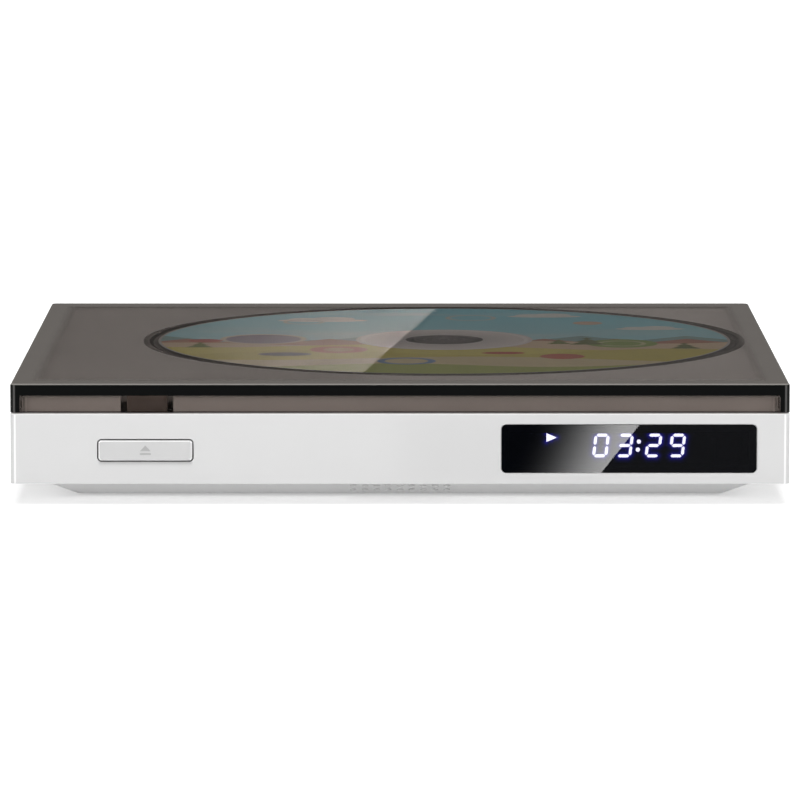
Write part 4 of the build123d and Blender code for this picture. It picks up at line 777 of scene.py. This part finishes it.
def digit_strokes(number, left, right):
    """Outlines of the strokes of one digit, as (x, z) pairs."""
    middle = (digit_bottom + digit_top) / 2
    half = stroke / 2

    def level(z):
        ends = (left + half + stroke_gap, right - half - stroke_gap)
        return [(ends[0], z), (ends[0] + half, z + half), (ends[1] - half, z + half),
                (ends[1], z), (ends[1] - half, z - half), (ends[0] + half, z - half)]

    def upright(x, z_low, z_high):
        ends = (z_low + stroke_gap, z_high - stroke_gap)
        return [(x, ends[0]), (x + half, ends[0] + half), (x + half, ends[1] - half),
                (x, ends[1]), (x - half, ends[1] - half), (x - half, ends[0] + half)]

    top, bottom = digit_top - half, digit_bottom + half
    strokes = {
        "a": level(top), "g": level(middle), "d": level(bottom),
        "f": upright(left + half, middle, top), "b": upright(right - half, middle, top),
        "e": upright(left + half, bottom, middle), "c": upright(right - half, bottom, middle),
    }
    return [[slanted(x, z) for x, z in strokes[key]] for key in segments_of[number]]


def all_strokes():
    return [outline for place in digit_places for outline in digit_strokes(*place)]


def figures(shape):
    for outline in all_strokes():
        prism(shape, outline, figure_front, figure_back)
    for height in colon_heights:
        x, z = slanted(colon_middle, height)
        angles = [a * math.pi / (dot_sides / 2) for a in range(dot_sides)]
        dot = [(x + dot_radius * math.cos(a), z + dot_radius * math.sin(a)) for a in angles]
        prism(shape, dot, figure_front, figure_back)
    prism(shape, play_mark, figure_front, figure_back)


piece("display_figures", "player", lit("figure_light", "dcd8ff", 64.0), figures)


# Blue glow round the figures, stronger where a figure is near

glow_x = (26.0, 60.0)
glow_z = (8.1, 14.04)
glow_columns, glow_rows = 170, 34
glow_reach = 0.45
glow_fall = 1.4
glow_strength = 15.0


def glow_points():
    """Points along the strokes, three to a side, and on the other figures."""
    points = []
    for outline in all_strokes():
        for i, (x, z) in enumerate(outline):
            nx, nz = outline[(i + 1) % len(outline)]
            points += [(x + (nx - x) * t / 3, z + (nz - z) * t / 3) for t in range(3)]
    return points + [slanted(colon_middle, z) for z in colon_heights] + play_mark + play_inside


def glow_material():
    tree = Tree("glow_blue", Roughness=0.5)
    found = tree.nodes.new("ShaderNodeAttribute")
    found.attribute_name = "glow"
    near = found.outputs["Fac"]
    speck = tree.varied(2500.0, 2.0, 0.85, 1.0)
    tree.colour(tree.mix(near, srgb("0c0c12"), srgb("1b1a3a")))
    tree.put(tree.shader.inputs["Emission Color"], tree.mix(near, srgb("1a0fb0"), srgb("3a35e0")))
    tree.put(tree.shader.inputs["Emission Strength"], tree.times(near, speck, glow_strength))
    return tree.material


def glow_plate():
    y = (figure_back - 0.01) * MM
    points = glow_points()
    verts, faces, values = [], [], []
    for row in range(glow_rows + 1):
        for column in range(glow_columns + 1):
            x = glow_x[0] + (glow_x[1] - glow_x[0]) * column / glow_columns
            z = glow_z[0] + (glow_z[1] - glow_z[0]) * row / glow_rows
            away = min(math.hypot(x - px, z - pz) for px, pz in points)
            verts.append((x * MM, y, z * MM))
            values.append(math.exp(-(away / glow_reach) ** glow_fall))
    stride = glow_columns + 1
    for row in range(glow_rows):
        for column in range(glow_columns):
            start = row * stride + column
            faces.append((start, start + 1, start + stride + 1, start + stride))
    mesh = bpy.data.meshes.new("display_glow")
    mesh.from_pydata(verts, [], faces)
    layer = mesh.attributes.new("glow", "FLOAT", "POINT")
    layer.data.foreach_set("value", values)
    mesh.materials.append(glow_material())
    made = add_object("display_glow", mesh)
    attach(made, "player")


glow_plate()


# Open symbol, raised on the button: a triangle over a bar, in mm from the button's middle

symbol_front = button_low.y / MM - 0.04
symbol_back = button_low.y / MM + 0.05
triangle_half, triangle_foot, triangle_top = 1.05, -0.1, 1.05
bar_half, bar_low, bar_high, bar_radius = 1.1, -0.85, -0.5, 0.12


def open_symbol(shape):
    x = button_middle / MM
    z = (button_low.z + button_high.z) / 2 / MM
    triangle = [(x - triangle_half, z + triangle_foot), (x + triangle_half, z + triangle_foot),
                (x, z + triangle_top)]
    bar = rounded(x - bar_half, x + bar_half, z + bar_low, z + bar_high, bar_radius, 3)
    for outline in (triangle, bar):
        prism(shape, outline, symbol_front, symbol_back)


symbol_grey = plastic("symbol_grey", "b2b2b2", 0.35, spread=0.02)
piece("open_symbol", "button", symbol_grey, open_symbol)


# Button spring: the folded strip, as its own copy on the player's body in place of the CAD part

def folded_spring():
    made = add_object("spring_strip", nodes["button_spring"].data.copy())
    made.data.materials.clear()
    made.data.materials.append(looks["button_spring"].material)
    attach(made, "player")
    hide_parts("button_spring")
    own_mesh(made)


folded_spring()


# Floor: it glows white wherever it is seen, but less near the object, where it keeps the shadow

def floor():
    half = 9.0
    shadow_end, open_floor = 0.12, 0.6
    mesh = bpy.data.meshes.new("floor")
    mesh.from_pydata([(-half, -half, 0), (half, -half, 0), (half, half, 0), (-half, half, 0)],
                     [], [(0, 1, 2, 3)])
    made = add_object("floor", mesh)
    tree = Tree("floor_white", Roughness=0.9, Specular_IOR_Level=0.0)
    tree.colour(srgb("fafafa"))
    path = tree.nodes.new("ShaderNodeLightPath").outputs
    seen = tree.largest(path["Is Camera Ray"], path["Is Glossy Ray"], path["Is Transmission Ray"])
    away = tree.length(*tree.axes()[:2])
    far = tree.smooth(away, shadow_end, open_floor, 0.4, 1.0)
    tree.shader.inputs["Emission Color"].default_value = WHITE
    tree.put(tree.shader.inputs["Emission Strength"], tree.times(seen, far))
    mesh.materials.append(tree.material)


floor()


# World: a grey room, dark along the horizon and below it, and lighter overhead

def world():
    dark, light = 0.12, 0.5
    ramp_start, ramp_end = 0.1, 0.55
    made = bpy.data.worlds.new("room")
    bpy.context.scene.world = made
    made.use_nodes = True
    tree = made.node_tree
    tree.nodes.clear()
    output = tree.nodes.new("ShaderNodeOutputWorld")
    background = tree.nodes.new("ShaderNodeBackground")
    ramp = tree.nodes.new("ShaderNodeMapRange")
    ramp.interpolation_type = "SMOOTHSTEP"
    place = tree.nodes.new("ShaderNodeTexCoord")
    split = tree.nodes.new("ShaderNodeSeparateXYZ")
    tree.links.new(place.outputs["Generated"], split.inputs[0])
    tree.links.new(split.outputs["Z"], ramp.inputs[0])
    for socket, number in zip(list(ramp.inputs)[1:5], (ramp_start, ramp_end, dark, light)):
        socket.default_value = number
    grey = tree.nodes.new("ShaderNodeCombineXYZ")
    for socket in grey.inputs:
        tree.links.new(ramp.outputs[0], socket)
    tree.links.new(grey.outputs[0], background.inputs["Color"])
    background.inputs["Strength"].default_value = 1.0
    tree.links.new(background.outputs[0], output.inputs["Surface"])


world()


# Lamps: a large soft one above, a low one in front, and one to each side of the front

def lamp(name, place, target, size, power, mirrored=True):
    data = bpy.data.lights.new(name, "AREA")
    data.shape = "RECTANGLE"
    data.size, data.size_y = size
    data.energy = power
    made = add_object(name, data)
    made.location = place
    aim = Vector(target) - Vector(place)
    made.rotation_euler = aim.to_track_quat("-Z", "Y").to_euler()
    made.visible_glossy = mirrored


front_target = (0.0, 0.0, 0.01)
lamp("top", (0.0, 0.1, 1.5), (0.0, 0.0, 0.0), size=(1.3, 1.3), power=12.7)
lamp("front", (0.0, -1.5, 0.09), front_target, size=(1.6, 0.16), power=3.3, mirrored=False)
for name, side in (("left", -1), ("right", 1)):
    lamp(name, (side * 0.84, -1.0, 0.25), front_target, size=(0.2, 0.45), power=2.7, mirrored=False)


# Cards that only shiny surfaces mirror: one in the disc, one in the display window

def card(name, corners, fade, power, lean, strength, mirrors):
    """A flat card, seen only in the nodes that mirror it.

    Its light grows along X, less lean times Z, from nothing at fade[0] to its strength at fade[1].
    """
    mesh = bpy.data.meshes.new(name)
    mesh.from_pydata(corners, [], [tuple(range(len(corners)))])
    made = add_object(name, mesh)
    tree = Tree(name)
    place = tree.axes()
    light = tree.nodes.new("ShaderNodeEmission")
    along = tree.math("SUBTRACT", place["X"], tree.math("MULTIPLY", place["Z"], lean))
    growth = tree.math("POWER", tree.smooth(along, *fade), power)
    tree.links.new(tree.times(growth, strength), light.inputs["Strength"])
    tree.links.new(light.outputs[0], tree.output.inputs["Surface"])
    tree.material.cycles.emission_sampling = "NONE"
    mesh.materials.append(tree.material)
    made.visible_camera = False
    made.visible_diffuse = False
    made.visible_transmission = False
    made.visible_shadow = False
    receivers = bpy.data.collections.new(name + "_mirrors")
    for mirror in mirrors:
        receivers.objects.link(nodes[mirror])
    made.light_linking.receiver_collection = receivers


disc_card_z = 0.6
disc_card_outline = ((-0.16, 0.4), (-0.0224, 0.4), (0.0231, 0.65), (-0.16, 0.65))
card("disc_card", [(x, y, disc_card_z) for x, y in disc_card_outline],
     fade=(-0.1, 0.01), power=1.3, lean=0.0, strength=26.0,
     mirrors=("disc", "disc_well", "spindle_hub"))
window_card_y = -0.104
window_card_outline = ((0.0, 0.0005), (0.0395, 0.0005), (0.0501, 0.014), (0.0, 0.014))
card("window_card", [(x, window_card_y, z) for x, z in window_card_outline],
     fade=(0.0169, 0.0419), power=3.0, lean=0.44, strength=86.0, mirrors=("display_window",))


# Camera at the photograph's viewing angle

camera_down = 7.13
camera_data = bpy.data.cameras.new("camera")
camera_data.lens = 275.8
camera_data.sensor_width = 36.0
camera_data.clip_start = 0.05
camera_data.clip_end = 50.0
camera = add_object("camera", camera_data)
camera.location = (0.0, -1.2735, 0.1709)
camera.rotation_euler = (math.radians(90.0 - camera_down), 0.0, 0.0)
bpy.context.scene.camera = camera
bpy.context.scene.view_settings.view_transform = "Standard"
